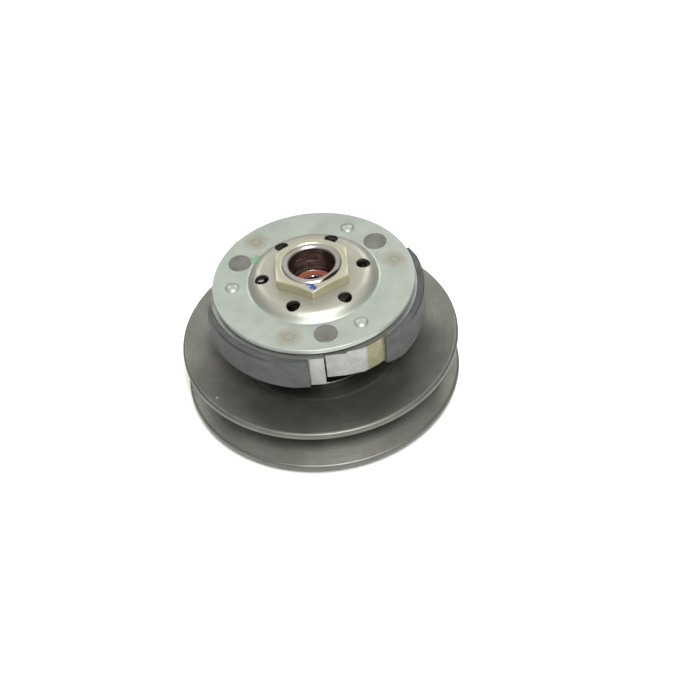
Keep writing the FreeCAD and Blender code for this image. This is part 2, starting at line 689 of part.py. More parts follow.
def make_sliding_sleeve():
    """Tube that slides and turns on the hub: seal housings, O-ring grooves and three cam slots.

    A round cutter that points at the axis climbs each helical slot in small steps."""
    body = add_body("sliding_sleeve", first_pivot_place())
    low = SLIDING_FLAT_LOW
    groove_floor = "size.collar_bore - 2 * size.o_ring_wire - size.o_ring_floor_play"
    grooves = []
    for height in ("size.o_ring_low_z", "size.o_ring_high_z"):
        grooves += [
            ("size.sleeve_radius", f"{height} - size.o_ring_groove_half"),
            (groove_floor, f"{height} - size.o_ring_groove_half"),
            (groove_floor, f"{height} + size.o_ring_groove_half"),
            ("size.sleeve_radius", f"{height} + size.o_ring_groove_half"),
        ]
    revolve(body, (
        ("size.oil_seal_radius", low),
        ("size.sleeve_radius", low),
        *grooves,
        ("size.sleeve_radius", "size.sleeve_top"),
        ("size.oil_seal_radius", "size.sleeve_top"),
        ("size.oil_seal_radius", "size.sleeve_top - size.oil_seal_height"),
        ("size.sleeve_bore", "size.sleeve_top - size.oil_seal_height"),
        ("size.sleeve_bore", f"{low} + size.oil_seal_height"),
        ("size.oil_seal_radius", f"{low} + size.oil_seal_height"),
    ))
    steps = int(value_of("size.cam_slot_steps"))
    play = value_of("size.roller_gap")
    slot_length = value_of("size.travel") + 2 * play
    slot_top = value_of("size.guide_pin_z") + play
    for slot in range(PIVOTS):
        for step in range(steps + 1):
            below_top = slot_length * step / steps
            angle = value_of("size.turn_per_travel") * (play - below_top)
            primitive(
                body,
                "SubtractiveCylinder",
                radial(360 / PIVOTS * slot + angle, 0, slot_top - below_top),
                Radius="size.roller_radius + size.roller_gap",
                Height="size.sleeve_radius + size.cutter_reach",
            )


def make_guides():
    """Pins through the hub's wall, and the rollers that run on them in the cam slots."""
    pins = add_body("guide_pins", first_pivot_place())
    height = value_of("size.guide_pin_z")
    inner_end = "(size.hub_bore + size.guide_pin_inset)"
    pin = primitive(
        pins,
        "AdditiveCylinder",
        radial(0, value_of(inner_end), height),
        Radius="size.guide_pin_radius",
        Height=f"size.sleeve_radius - size.guide_pin_drop - {inner_end}",
    )
    repeat(pins, [pin], PIVOTS)
    bore = "size.guide_pin_radius + size.roller_play"
    length = "size.sleeve_radius - size.hub_radius - 2 * size.roller_end_gap"
    for index in range(PIVOTS):
        azimuth = value_of("size.pivot_azimuth") + 360 / PIVOTS * index
        place = radial(azimuth, value_of("size.hub_radius + size.roller_end_gap"), height)
        roller = add_body(f"guide_roller_{index + 1}", place)
        revolve(roller, (
            (bore, "0"),
            ("size.roller_radius", "0"),
            ("size.roller_radius", length),
            (bore, length),
        ))


def make_oil_seal(name, low, lip_up):
    """Lip seal: stiff outer ring, thin floor and a lip that leans on the hub."""
    body = add_body(name)
    lip = "(size.hub_radius + size.oil_seal_lip_gap)"
    ring_inside = "size.oil_seal_radius - size.oil_seal_rim"
    floor, rim, inward = low, f"({low} + size.oil_seal_height)", "+"
    if not lip_up:
        floor, rim, inward = rim, floor, "-"
    floor_inside = f"{floor} {inward} size.oil_seal_floor"
    lip_end = f"{floor} {inward} (size.oil_seal_height - size.oil_seal_lip_drop)"
    revolve(body, (
        ("size.oil_seal_radius", floor),
        ("size.oil_seal_radius", rim),
        (ring_inside, rim),
        (ring_inside, floor_inside),
        (f"{lip} + size.oil_seal_lip_root", floor_inside),
        (f"{lip} + size.oil_seal_lip_width", lip_end),
        (lip, lip_end),
        (f"{lip} + size.oil_seal_lip_taper", floor),
    ))


def make_o_rings():
    body = add_body("o_rings")
    for height in ("size.o_ring_low_z", "size.o_ring_high_z"):
        sketch = add_sketch(body, "XZ_Plane")
        ring = "size.collar_bore - size.o_ring_wire - size.o_ring_fit"
        draw_circle(sketch, ring, height, "size.o_ring_wire")
        turn_sketch(body, sketch)


def make_seal_collar():
    """Thin pressed collar over the cam slots; its flange is the spring's seat."""
    body = add_body("seal_collar")
    flange_radius = "(size.spring_radius + size.spring_wire + size.collar_flange_margin)"
    revolve(body, (
        ("size.collar_bore", "size.collar_z"),
        (flange_radius, "size.collar_z"),
        (flange_radius, SPRING_SEAT),
        ("size.collar_radius", SPRING_SEAT),
        ("size.collar_radius", "size.collar_top"),
        ("size.collar_bore", "size.collar_top"),
    ))


def add_coil(body, wire_centre, wire_radius, length, turns):
    """Wind a round wire, whose first section lies on the XZ plane, up the body's Z axis."""
    sketch = add_sketch(body, "XZ_Plane")
    draw_circle(sketch, *wire_centre, wire_radius)
    coil = body.newObject("PartDesign::AdditiveHelix", f"{body.Name}_coil")
    coil.Profile = sketch
    coil.ReferenceAxis = (sketch, ["V_Axis"])
    coil.Mode = "height-turns-angle"
    coil.setExpression("Height", length)
    coil.setExpression("Turns", turns)
    body.Tip = coil


def make_main_spring():
    """Compression spring, in half turns, between the collar's flange and the raised middle."""
    body = add_body("main_spring")
    first = f"({SPRING_SEAT} + size.spring_wire + size.spring_play)"
    last = f"({DOME_UNDER} - size.spring_wire - size.spring_play)"
    rise = f"(({last} - {first}) / size.spring_half_turns)"
    for index in range(int(value_of("size.spring_half_turns"))):
        side = "-" if index % 2 else ""
        centre = (f"{side}size.spring_radius", f"{first} + {index} * {rise}")
        add_coil(body, centre, "size.spring_wire", rise, "0.5")


# ---------------------------------------------------------------- clutch plate, nut and pins


def make_clutch_plate():
    """Stamped carrier plate with a raised middle that sits on the hub's flats."""
    body = add_body("clutch_plate", first_pivot_place())
    foot_in = "size.dome_under_radius + size.dome_foot_radius - size.dome_shoulder_radius"
    bore = "(size.hub_flat + size.hub_fit)"
    revolve(body, (
        (bore, DOME_UNDER),
        ("size.dome_under_radius", DOME_UNDER),
        (foot_in, PLATE_UNDER),
        ("size.plate_radius", PLATE_UNDER),
        ("size.plate_radius", "size.plate_top"),
        ("size.dome_foot_radius", "size.plate_top"),
        ("size.dome_shoulder_radius", DOME_TOP),
        (bore, DOME_TOP),
    ))
    round_edges(body, (("size.dome_shoulder_radius", DOME_TOP),), "size.dome_shoulder_round")
    round_edges(body, (("size.dome_foot_radius", "size.plate_top"),), "size.dome_foot_round")
    rims = (("size.plate_radius", PLATE_UNDER), ("size.plate_radius", "size.plate_top"))
    round_edges(body, rims, "size.plate_rim_round")
    cut_double_flat_hole(body, bore)
    hole = round_post(
        body, ("size.tool_hole_circle", "size.tool_hole_azimuth"), "size.tool_hole_radius",
        DOME_UNDER, DOME_TOP, shape=pocket,
    )
    repeat(body, [hole], TOOL_HOLES)
    pivot = round_post(
        body, ("size.pivot_circle", "0"), "size.pivot_radius", PLATE_UNDER, "size.plate_top",
        shape=pocket,
    )
    repeat(body, [pivot], PIVOTS)
    stop = round_post(
        body, ("size.damper_circle", "size.damper_azimuth"), "size.damper_pin_radius",
        PLATE_UNDER, "size.plate_top", shape=pocket,
    )
    repeat(body, [stop], PIVOTS)
    raise_studs(body)


def raise_studs(body):
    """Rounded studs stamped up from below, which leaves a hollow under each."""
    across, up = (value_of(part) for part in polar("size.stud_circle", "size.stud_azimuth"))
    top_centre = value_of("size.plate_top + size.stud_height - size.stud_ball")
    hollow_centre = top_centre - value_of("size.plate_thickness")
    upright = FreeCAD.Rotation()
    stud = primitive(
        body,
        "AdditiveSphere",
        FreeCAD.Placement(FreeCAD.Vector(across, up, top_centre), upright),
        Radius="size.stud_ball",
        Angle1="asin((size.stud_ball - size.stud_height - size.stud_root) / size.stud_ball)",
    )
    repeat(body, [stud], PIVOTS)
    hollow = primitive(
        body,
        "SubtractiveSphere",
        FreeCAD.Placement(FreeCAD.Vector(across, up, hollow_centre), upright),
        Radius="size.stud_ball",
    )
    repeat(body, [hollow], PIVOTS)


def cut_double_flat_hole(body, bore):
    """Open the round ends of the plate's hole, which leaves its two flats."""
    radius = "(size.thread_radius + size.hub_fit)"
    half_angle = f"(acos({bore} / {radius}) / 1 deg)"
    flats = "(size.hub_flat_azimuth - size.pivot_azimuth)"
    sector(body, (
        (radius, f"{flats} + {half_angle}", "arc"),
        (radius, f"{flats} + 180 - {half_angle}", "line"),
        (radius, f"{flats} + 180 + {half_angle}", "arc"),
        (radius, f"{flats} + 360 - {half_angle}", "line"),
    ), DOME_UNDER, DOME_TOP, shape=pocket)


def make_clutch_nut():
    """Thin hexagon nut with chamfered corners and a countersunk hole."""
    body = add_body("clutch_nut", turned(value_of("size.nut_azimuth")))
    corner = "(size.nut_flat / cos(30))"
    sketch = add_sketch(body, "XY_Plane", DOME_TOP)
    draw_polygon(sketch, [polar(corner, f"{60 * side}") for side in range(6)])
    draw_circle(sketch, "0", "0", "size.thread_radius")
    pad(body, sketch, DOME_TOP, "size.hub_length")
    top = "size.hub_length"
    sink = "(size.nut_chamfer_radius - size.thread_radius)"
    face_edge = "size.nut_flat - size.nut_face_step"
    beyond = f"{corner} + size.nut_corner_margin"
    revolve(body, (
        ("size.thread_radius", f"{top} - {sink}"),
        ("size.nut_chamfer_radius", top),
        ("size.nut_chamfer_radius", f"{top} + size.cutter_reach"),
        ("size.thread_radius", f"{top} + size.cutter_reach"),
    ), kind="Groove")
    revolve(body, (
        (face_edge, top),
        (beyond, f"{top} - size.nut_corner_drop"),
        (beyond, f"{top} + size.cutter_reach"),
        (face_edge, f"{top} + size.cutter_reach"),
    ), kind="Groove")


def make_pivots():
    """Pivot pins riveted in the plate, with washers above the shoes and clips below."""
    at_pivot = ("size.pivot_circle", "0")
    clip_top = "(size.clip_z + size.clip_thickness)"
    groove_low = "(size.clip_z - size.clip_play)"
    groove_high = f"({clip_top} + size.clip_play)"
    head_top = "(size.plate_top + size.pivot_head_height)"
    pins = add_body("pivot_pins", first_pivot_place())
    stages = (
        ("size.pivot_radius", "size.pivot_bottom", groove_low),
        ("size.clip_groove_radius", groove_low, groove_high),
        ("size.pivot_radius", groove_high, "size.plate_top"),
        ("size.pivot_head_radius", "size.plate_top", head_top),
    )
    repeat(pins, [round_post(pins, at_pivot, *stage) for stage in stages], PIVOTS)

    washers = add_body("pivot_washers", first_pivot_place())
    low = "(size.web_high + size.washer_gap)"
    high = f"({PLATE_UNDER} - size.pivot_play)"
    bore = "size.pivot_radius + size.washer_fit"
    disc = round_post(washers, at_pivot, "size.washer_radius", low, high)
    hole = round_post(washers, at_pivot, bore, low, high, shape=pocket)
    repeat(washers, [disc, hole], PIVOTS)

    clips = add_body("e_clips", first_pivot_place())
    disc = round_post(clips, at_pivot, "size.clip_radius", "size.clip_z", clip_top)
    hole = round_post(
        clips, at_pivot, "size.clip_groove_radius", "size.clip_z", clip_top, shape=pocket
    )
    mouth = add_sketch(clips, "XY_Plane", "size.clip_z")
    mouth_half = "(size.clip_groove_radius - size.clip_bite)"
    mouth_end = "size.pivot_circle - size.clip_radius - size.cutter_reach"
    draw_polygon(mouth, (
        (mouth_end, f"-{mouth_half}"),
        ("size.pivot_circle", f"-{mouth_half}"),
        ("size.pivot_circle", mouth_half),
        (mouth_end, mouth_half),
    ))
    opening = pocket(clips, mouth, "size.clip_z", clip_top)
    repeat(clips, [disc, hole, opening], PIVOTS)


def make_dampers():
    """Stop pins in the plate with rubber sleeves; the shoes rest against the rubber."""
    place = ("size.damper_circle", "size.damper_azimuth")
    pins = add_body("damper_pins", first_pivot_place())
    pin = round_post(pins, place, "size.damper_pin_radius", "size.damper_bottom", "size.plate_top")
    repeat(pins, [pin], PIVOTS)
    rubbers = add_body("damper_rubbers", first_pivot_place())
    low = "(size.damper_bottom + size.damper_rubber_lift)"
    high = f"({PLATE_UNDER} - size.damper_rubber_gap)"
    sleeve = round_post(rubbers, place, "size.damper_rubber_radius", low, high)
    hole = round_post(rubbers, place, "size.damper_pin_radius", low, high, shape=pocket)
    repeat(rubbers, [sleeve, hole], PIVOTS)


# ---------------------------------------------------------------- shoes


def shoe_place(index):
    """A shoe's place at rest: swung in from the drum about its pivot, then turned to its pivot."""
    pivot = FreeCAD.Vector(value_of("size.pivot_circle"), 0, 0)
    swing = FreeCAD.Rotation(Z_AXIS, value_of("size.rest_angle"))
    azimuth = value_of("size.pivot_azimuth") + 360 / PIVOTS * index
    return turned(azimuth).multiply(FreeCAD.Placement(HERE, swing, pivot))


def make_shoe(index):
    """Die-cast shoe: web with a pivot boss, outer wall higher than the web, heel and toe."""
    body = add_body(f"shoe_{index + 1}", shoe_place(index))
    lining_edge = "(size.lining_start - size.lining_gap)"
    nose_outer = "(size.heel_nose_radius + size.nose_rise)"
    nose_inner = "(size.wall_inner_radius - size.nose_inset)"
    web_outer = "(size.wall_inner_radius + size.web_overlap)"
    outer_side = (
        ("size.heel_radius", "size.heel_face_start", "arc"),
        ("size.heel_radius", lining_edge, "line"),
        ("size.lining_base_radius", lining_edge, "arc"),
        ("size.lining_base_radius", "size.lining_end", "line"),
        ("size.toe_radius", "size.lining_end", "arc"),
        ("size.toe_radius", "size.toe_end", "line"),
        ("size.wall_inner_radius", "size.toe_end", "arc"),
    )
    sector(body, (
        ("size.heel_nose_radius", "size.nose_start", "line"),
        (nose_outer, "size.nose_end", "line"),
        *outer_side,
        ("size.wall_inner_radius", "size.inset_fade", "line"),
        (nose_inner, "size.inset_end", "arc"),
        (nose_inner, "size.nose_start", "line"),
    ), "size.heel_low", "size.web_high")
    sector(body, (
        ("size.wall_inner_radius", lining_edge, "line"),
        ("size.lining_base_radius", lining_edge, "arc"),
        ("size.lining_base_radius", "size.lining_end", "line"),
        ("size.wall_inner_radius", "size.lining_end", "arc"),
    ), "size.lining_low", "size.heel_low")
    sector(body, (
        ("size.wall_inner_radius", "size.lining_end", "line"),
        ("size.toe_radius", "size.lining_end", "arc"),
        ("size.toe_radius", "size.toe_end", "line"),
        ("size.wall_inner_radius", "size.toe_end", "arc"),
    ), "size.toe_low", "size.heel_low")
    sector(body, (
        ("size.wall_inner_radius", "size.wall_start", "line"),
        (nose_outer, "size.wall_start", "line"),
        *outer_side,
    ), "size.web_high", "size.wall_high")
    sector(body, (
        ("size.web_inner_radius", "size.web_inner_start", "line"),
        (web_outer, "size.web_outer_start", "arc"),
        (web_outer, "size.web_outer_end", "line"),
        ("size.web_inner_radius", "size.web_inner_end", "arc"),
    ), "size.web_low", "size.web_high")
    at_pivot = ("size.pivot_circle", "0")
    round_post(body, at_pivot, "size.boss_radius", "size.web_low", "size.web_high")
    holes = (
        (at_pivot, "size.pivot_radius + size.pivot_play"),
        (("size.toe_hook_radius", "size.toe_hook_azimuth"), "size.hook_hole_radius"),
        (("size.heel_hook_radius", "size.heel_hook_azimuth"), "size.hook_hole_radius"),
    )
    for place, radius in holes:
        round_post(body, place, radius, "size.web_low", "size.web_high", shape=pocket)


def make_lining(index):
    """Friction lining bonded to the shoe's outer wall, thinner towards both ends."""
    body = add_body(f"lining_{index + 1}", shoe_place(index))
    sector(body, (
        ("size.lining_base_radius", "size.lining_start", "line"),
        ("size.drum_radius - size.lining_start_taper", "size.lining_start", "line"),
        ("size.drum_radius", "size.lining_start + size.lining_taper_angle", "arc"),
        ("size.drum_radius", "size.lining_end - size.lining_taper_angle", "line"),
        ("size.drum_radius - size.lining_end_taper", "size.lining_end", "line"),
        ("size.lining_base_radius", "size.lining_end", "arc"),
    ), "size.lining_low", "size.lining_high")


def make_shoe_spring(index):
    """Extension spring, coiled part, from one shoe's toe to the next shoe's heel."""
    height = FreeCAD.Vector(0, 0, value_of("size.shoe_spring_z"))
    toe = FreeCAD.Vector(*hook_point("size.toe_hook_radius", "size.toe_hook_azimuth"), 0)
    heel = FreeCAD.Vector(*hook_point("size.heel_hook_radius", "size.heel_hook_azimuth"), 0)
    start = shoe_place(index).multVec(toe)
    end = shoe_place(index + 1).multVec(heel)
    along = (end - start).normalize()
    first = (start + end) * 0.5 - along * (value_of("size.shoe_spring_length") / 2) + height
    place = FreeCAD.Placement(first, FreeCAD.Rotation(Z_AXIS, along))
    body = add_body(f"shoe_spring_{index + 1}", place)
    add_coil(
        body, ("size.shoe_spring_radius", "0"), "size.shoe_spring_wire",
        "size.shoe_spring_length", "size.shoe_spring_turns",
    )


def hook_point(radius, angle):
    return [value_of(part) for part in polar(radius, angle)]


# ---------------------------------------------------------------- the whole pulley


def make_all():
    make_fixed_sheave()
    make_fixed_hub()
    make_needle_bearing()
    make_ball_bearing()
    make_sliding_sheave()
    make_sliding_sleeve()
    make_guides()
    make_oil_seal("oil_seal_lower", SLIDING_FLAT_LOW, lip_up=False)
    make_oil_seal("oil_seal_upper", "(size.sleeve_top - size.oil_seal_height)", lip_up=True)
    make_o_rings()
    make_seal_collar()
    make_main_spring()
    make_clutch_plate()
    make_clutch_nut()
    make_pivots()
    make_dampers()
    for index in range(PIVOTS):
        make_shoe(index)
        make_lining(index)
        make_shoe_spring(index)


def check_and_write():
    """Stop on a failed feature or a bad shape; otherwise write one file for each sub-part."""
    document.recompute()
    failed = [item.Name for item in document.Objects if {"Invalid", "Error"} & set(item.State)]
    bad = [body.Label for body in sub_parts if body.Shape.isNull() or not body.Shape.isValid()]
    if failed or bad:
        raise RuntimeError(f"failed features: {failed}; bad shapes: {bad}")
    os.makedirs("parts", exist_ok=True)
    for body in sub_parts:
        body.Shape.exportStep(f"parts/{body.Label}.step")
        print(f"{body.Label}: {len(body.Shape.Solids)} solids, {body.Shape.Volume:.1f} mm3")


make_all()
check_and_write()
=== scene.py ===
"""Looks of a scooter's driven pulley and its centrifugal clutch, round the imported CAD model."""

import json
import math

import bmesh
import bpy
from mathutils import Matrix, Vector

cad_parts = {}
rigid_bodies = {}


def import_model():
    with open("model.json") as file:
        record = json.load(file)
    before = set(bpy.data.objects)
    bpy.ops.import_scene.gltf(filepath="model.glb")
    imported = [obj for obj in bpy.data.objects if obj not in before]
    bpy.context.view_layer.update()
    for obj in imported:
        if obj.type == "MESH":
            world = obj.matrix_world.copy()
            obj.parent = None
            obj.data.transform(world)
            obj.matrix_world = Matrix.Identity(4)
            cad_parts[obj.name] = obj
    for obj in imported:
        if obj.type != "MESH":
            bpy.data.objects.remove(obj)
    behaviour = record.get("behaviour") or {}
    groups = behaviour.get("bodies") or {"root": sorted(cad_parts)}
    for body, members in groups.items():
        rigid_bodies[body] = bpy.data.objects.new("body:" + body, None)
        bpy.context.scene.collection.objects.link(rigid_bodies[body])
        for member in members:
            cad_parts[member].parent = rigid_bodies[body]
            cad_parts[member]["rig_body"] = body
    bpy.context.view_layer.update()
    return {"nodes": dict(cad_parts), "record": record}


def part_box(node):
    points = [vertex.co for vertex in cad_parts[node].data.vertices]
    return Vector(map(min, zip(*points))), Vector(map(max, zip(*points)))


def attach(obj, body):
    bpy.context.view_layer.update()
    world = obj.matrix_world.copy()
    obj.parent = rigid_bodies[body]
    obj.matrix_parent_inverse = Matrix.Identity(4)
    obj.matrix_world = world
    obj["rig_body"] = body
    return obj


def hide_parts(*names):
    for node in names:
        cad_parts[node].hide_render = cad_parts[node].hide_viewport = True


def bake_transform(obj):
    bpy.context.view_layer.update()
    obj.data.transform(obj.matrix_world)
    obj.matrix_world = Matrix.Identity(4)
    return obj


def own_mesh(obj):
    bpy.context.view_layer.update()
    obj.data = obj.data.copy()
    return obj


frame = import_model()

MM = 0.001

# ---------------------------------------------------------------- places, in metres, from the frame

FIXED_LOW, FIXED_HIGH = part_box("fixed_sheave")
SLIDING_LOW, SLIDING_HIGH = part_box("sliding_sheave")
HUB_LOW, HUB_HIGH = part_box("fixed_hub")
_, SLEEVE_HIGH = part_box("sliding_sleeve")
SPRING_LOW, SPRING_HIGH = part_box("main_spring")
_, PLATE_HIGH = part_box("clutch_plate")
_, NUT_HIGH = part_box("clutch_nut")
_, LINING_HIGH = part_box("lining_1")

SHOES = (1, 2, 3)
THIRD = math.radians(360 / len(SHOES))

# sizes of the pieces that this script draws again or paints marks on
DISC_RADIUS = SLIDING_HIGH.x
DISC_WALL = 3.8 * MM
DISC_FLAT = 28.0 * MM
DISC_SLOPE = (FIXED_HIGH.z - FIXED_LOW.z - DISC_WALL) / (DISC_RADIUS - DISC_FLAT)
HUB_RADIUS = 17.0 * MM
HUB_BORE = 11.0 * MM
DOME_FOOT = 30.85 * MM
DOME_SHOULDER = 27.0 * MM
TOOL_CIRCLE = 23.95 * MM
TOOL_AZIMUTH = math.radians(63.6)
TOOL_HOLES = 6
STUD_CIRCLE = 38.3 * MM
STUD_AZIMUTH = math.radians(59.9)
PIVOT_AZIMUTH = math.radians(33.75)
PIVOT_CIRCLE = 37.83 * MM
STOP_AZIMUTH = math.radians(129.3)
STOP_CIRCLE = 39.7 * MM
REST_SWING = math.radians(2.5)
LINING_FACE = 52.3 * MM


def around(radius, azimuth, height=0.0):
    """The point at that radius, azimuth and height."""
    return Vector((radius * math.cos(azimuth), radius * math.sin(azimuth), height))


# ---------------------------------------------------------------- camera, floor and light

# the camera that the photo was taken with, worked out from the circles seen in it
CAMERA_AIM = Vector((13.3, -11.9, 27.6)) * MM
CAMERA_AZIMUTH = math.radians(1.51)
CAMERA_DOWN = math.radians(45.19)
CAMERA_ROLL = math.radians(-5.917)
CAMERA_DISTANCE = 715.7 * MM
# focal length in millimetres, on a picture 36 mm wide
CAMERA_LENS = 76.37

FLOOR_REACH = 40 * DISC_RADIUS
FLOOR_DROP = 0.05 * MM
FLOOR_TONES = ((0.93, 0.93, 0.93), (0.96, 0.96, 0.96))

# light of the pale room by height above the horizon: sine of the elevation, then brightness
ROOM_LIGHT = ((0.0, 0.06), (0.30, 0.12), (0.55, 0.78), (0.80, 0.66), (1.0, 0.46))
ROOM_TINT = (1.0, 0.995, 0.945)


def add_object(name, data, place=Matrix.Identity(4)):
    """A new object in the scene, at that place."""
    thing = bpy.data.objects.new(name, data)
    thing.matrix_world = place
    bpy.context.scene.collection.objects.link(thing)
    return thing


def add_camera():
    """Camera in front, looking down about 45 degrees and leaning a little to one side."""
    look = around(math.cos(CAMERA_DOWN), math.pi / 2 - CAMERA_AZIMUTH, -math.sin(CAMERA_DOWN))
    data = bpy.data.cameras.new("camera")
    data.lens = CAMERA_LENS
    lean = Matrix.Rotation(CAMERA_ROLL, 3, "Z")
    turn = look.to_track_quat("-Z", "Y").to_matrix() @ lean
    place = Matrix.Translation(CAMERA_AIM - look * CAMERA_DISTANCE) @ turn.to_4x4()
    bpy.context.scene.camera = add_object("camera", data, place)


def add_floor():
    """Pale floor that runs far past the picture, a hair under the hub's foot."""
    mesh = bpy.data.meshes.new("floor")
    signs = ((-1, -1), (1, -1), (1, 1), (-1, 1))
    corners = [(x * FLOOR_REACH, y * FLOOR_REACH, 0) for x, y in signs]
    mesh.from_pydata(corners, [], [tuple(range(len(corners)))])
    floor = add_object("floor", mesh, Matrix.Translation((0, 0, HUB_LOW.z - FLOOR_DROP)))
    paint = Paint("pale_floor", Roughness=0.8)
    cloud = paint.noise(grains_per_mm=0.01, detail=2)
    paint.colour(paint.mix(cloud, *FLOOR_TONES))
    mesh.materials.append(paint.material)


def add_area_light(name, azimuth, elevation, distance, width, power):
    """Soft disc of light that faces the pulley from that direction, angles in degrees."""
    data = bpy.data.lights.new(name, "AREA")
    data.shape = "DISK"
    data.size = width
    data.energy = power
    data.color = ROOM_TINT
    height = math.radians(elevation)
    direction = around(math.cos(height), math.radians(azimuth), math.sin(height))
    turn = direction.to_track_quat("Z", "Y").to_matrix().to_4x4()
    add_object(name, data, Matrix.Translation(direction * distance) @ turn)


def add_room_light():
    """Pale room that is darkest near the floor and brightest at half height."""
    world = bpy.data.worlds.new("room")
    bpy.context.scene.world = world
    world.use_nodes = True
    nodes, links = world.node_tree.nodes, world.node_tree.links
    direction = nodes.new("ShaderNodeTexCoord")
    split = nodes.new("ShaderNodeSeparateXYZ")
    ramp = nodes.new("ShaderNodeValToRGB")
    links.new(direction.outputs["Generated"], split.inputs[0])
    links.new(split.outputs["Z"], ramp.inputs["Fac"])
    links.new(ramp.outputs["Color"], nodes["Background"].inputs["Color"])
    steps = ramp.color_ramp.elements
    while len(steps) < len(ROOM_LIGHT):
        steps.new(1.0)
    for step, (height, light) in zip(steps, ROOM_LIGHT):
        step.position = height
        step.color = (*(light * part for part in ROOM_TINT), 1)


def add_lights():
    """The room, one soft light in front and above, and two weak ones behind."""
    add_room_light()
    add_area_light("key", azimuth=-84, elevation=56, distance=1.1, width=0.34, power=15.2)
    add_area_light("back_right", azimuth=62, elevation=36, distance=1.3, width=0.4, power=3.2)
    add_area_light("back_left", azimuth=119, elevation=36, distance=1.3, width=0.4, power=2.6)


# ---------------------------------------------------------------- tools for materials


class Paint:
    """One material, built node by node. Its coordinates are millimetres in the pulley's frame."""

    def __init__(self, name, **settings):
        self.material = bpy.data.materials.new(name)
        self.material.use_nodes = True
        self.nodes = self.material.node_tree.nodes
        self.shader = self.nodes["Principled BSDF"]
        for socket, value in settings.items():
            self.shader.inputs[socket.replace("_", " ")].default_value = value
        metres = self.add("ShaderNodeTexCoord").outputs["Object"]
        scale = (1 / MM, 1 / MM, 1 / MM)
        place = self.add("ShaderNodeVectorMath", metres, scale, operation="MULTIPLY")
        self.place = place.outputs[0]
        self.x, self.y, self.z = self.add("ShaderNodeSeparateXYZ", self.place).outputs
        self.tone = None
        self.normal = None

    def add(self, kind, *feeds, **settings):
        """A new node; feeds go to its inputs in order, as a link or as a number."""
        node = self.nodes.new(kind)
        for name, value in settings.items():
            setattr(node, name, value)
        for socket, feed in zip(node.inputs, feeds):
            self.feed(socket, feed)
        return node

    def feed(self, socket, feed):
        if isinstance(feed, bpy.types.NodeSocket):
            self.material.node_tree.links.new(feed, socket)
        elif feed is not None:
            socket.default_value = feed

    def math(self, operation, first, second=None):
        return self.add("ShaderNodeMath", first, second, operation=operation).outputs[0]

    def length(self, x, y):
        squares = [self.math("POWER", part, 2.0) for part in (x, y)]
        return self.math("SQRT", self.math("ADD", *squares))

    def radius(self):
        """Distance from the pulley's axis."""
        return self.length(self.x, self.y)

    def azimuth(self):
        return self.math("ARCTAN2", self.y, self.x)

    def from_pivot(self):
        """Degrees from the pivot before a point, from 0 to 120."""
        turns = self.math("DIVIDE", self.math("SUBTRACT", self.azimuth(), PIVOT_AZIMUTH), THIRD)
        share = self.math("FRACT", self.math("ADD", turns, float(len(SHOES))))
        return self.math("MULTIPLY", share, math.degrees(THIRD))

    def vector(self, x, y, z):
        return self.add("ShaderNodeCombineXYZ", x, y, z).outputs[0]

    def noise(self, grains_per_mm, detail=4.0, roughness=0.55, place=None):
        """Cloudy value from 0 to 1."""
        node = self.add("ShaderNodeTexNoise")
        self.feed(node.inputs["Vector"], place or self.place)
        self.feed(node.inputs["Scale"], grains_per_mm)
        self.feed(node.inputs["Detail"], detail)
        self.feed(node.inputs["Roughness"], roughness)
        return node.outputs["Fac"]

    def cells(self, grains_per_mm):
        """Distance to the nearest grain, for specks."""
        node = self.add("ShaderNodeTexVoronoi")
        self.feed(node.inputs["Vector"], self.place)
        self.feed(node.inputs["Scale"], grains_per_mm)
        return node.outputs["Distance"]

    def remap(self, value, low, high, to_low=0.0, to_high=1.0):
        """Value from low to high made to run from to_low to to_high, softly."""
        node = self.add("ShaderNodeMapRange", value, low, high, to_low, to_high)
        node.interpolation_type = "SMOOTHSTEP"
        return node.outputs[0]

    def product(self, first, *others):
        for other in others:
            first = self.math("MULTIPLY", first, other)
        return first

    def band(self, value, low, high, soft):
        """1 while value is between low and high, 0 outside, with soft ends."""
        start = self.remap(value, low - soft, low + soft)
        end = self.remap(value, high + soft, high - soft)
        return self.product(start, end)

    def away(self, centre):
        """Millimetres from a point on the plan."""
        dx = self.math("SUBTRACT", self.x, centre.x / MM)
        dy = self.math("SUBTRACT", self.y, centre.y / MM)
        return self.length(dx, dy)

    def spot(self, centre, radius, ragged=0.0, grains_per_mm=0.4, soft=0.25):
        """1 within that many millimetres of a point on the plan, 0 outside, with a ragged edge."""
        cloud = self.noise(grains_per_mm)
        uneven = self.remap(cloud, low=0.25, high=0.75, to_low=-ragged, to_high=ragged)
        distance = self.math("ADD", self.away(centre), uneven)
        return self.remap(distance, radius * (1 + soft), radius * (1 - soft))

    def mix(self, share, first, second):
        """Colour between two colours; a colour is three numbers or a link."""
        node = self.add("ShaderNodeMix", data_type="RGBA")
        sockets = {socket.identifier: socket for socket in node.inputs}
        self.feed(sockets["Factor_Float"], share)
        for name, tone in (("A_Color", first), ("B_Color", second)):
            is_link = isinstance(tone, bpy.types.NodeSocket)
            self.feed(sockets[name], tone if is_link else (*tone, 1))
        return next(s for s in node.outputs if s.identifier == "Result_Color")

    def colour(self, tone):
        self.tone = tone
        self.feed(self.shader.inputs["Base Color"], tone)

    def patches(self, cloud, tones):
        """Colour in soft patches, between a dark and a light tone."""
        self.colour(self.mix(self.remap(cloud, low=0.3, high=0.7), *tones))

    def tint(self, share, tone, most=None):
        """Lay a colour over the colour so far; most is how much of it a full share lays on."""
        if most is not None:
            share = self.product(share, most)
        self.colour(self.mix(share, self.tone, tone))

    def rough(self, value):
        self.feed(self.shader.inputs["Roughness"], value)

    def rough_by(self, grain, roughness):
        """That roughness, a little less or more along with a grain."""
        less, more = roughness - 0.07, roughness + 0.1
        self.rough(self.remap(grain, low=0.2, high=0.8, to_low=less, to_high=more))

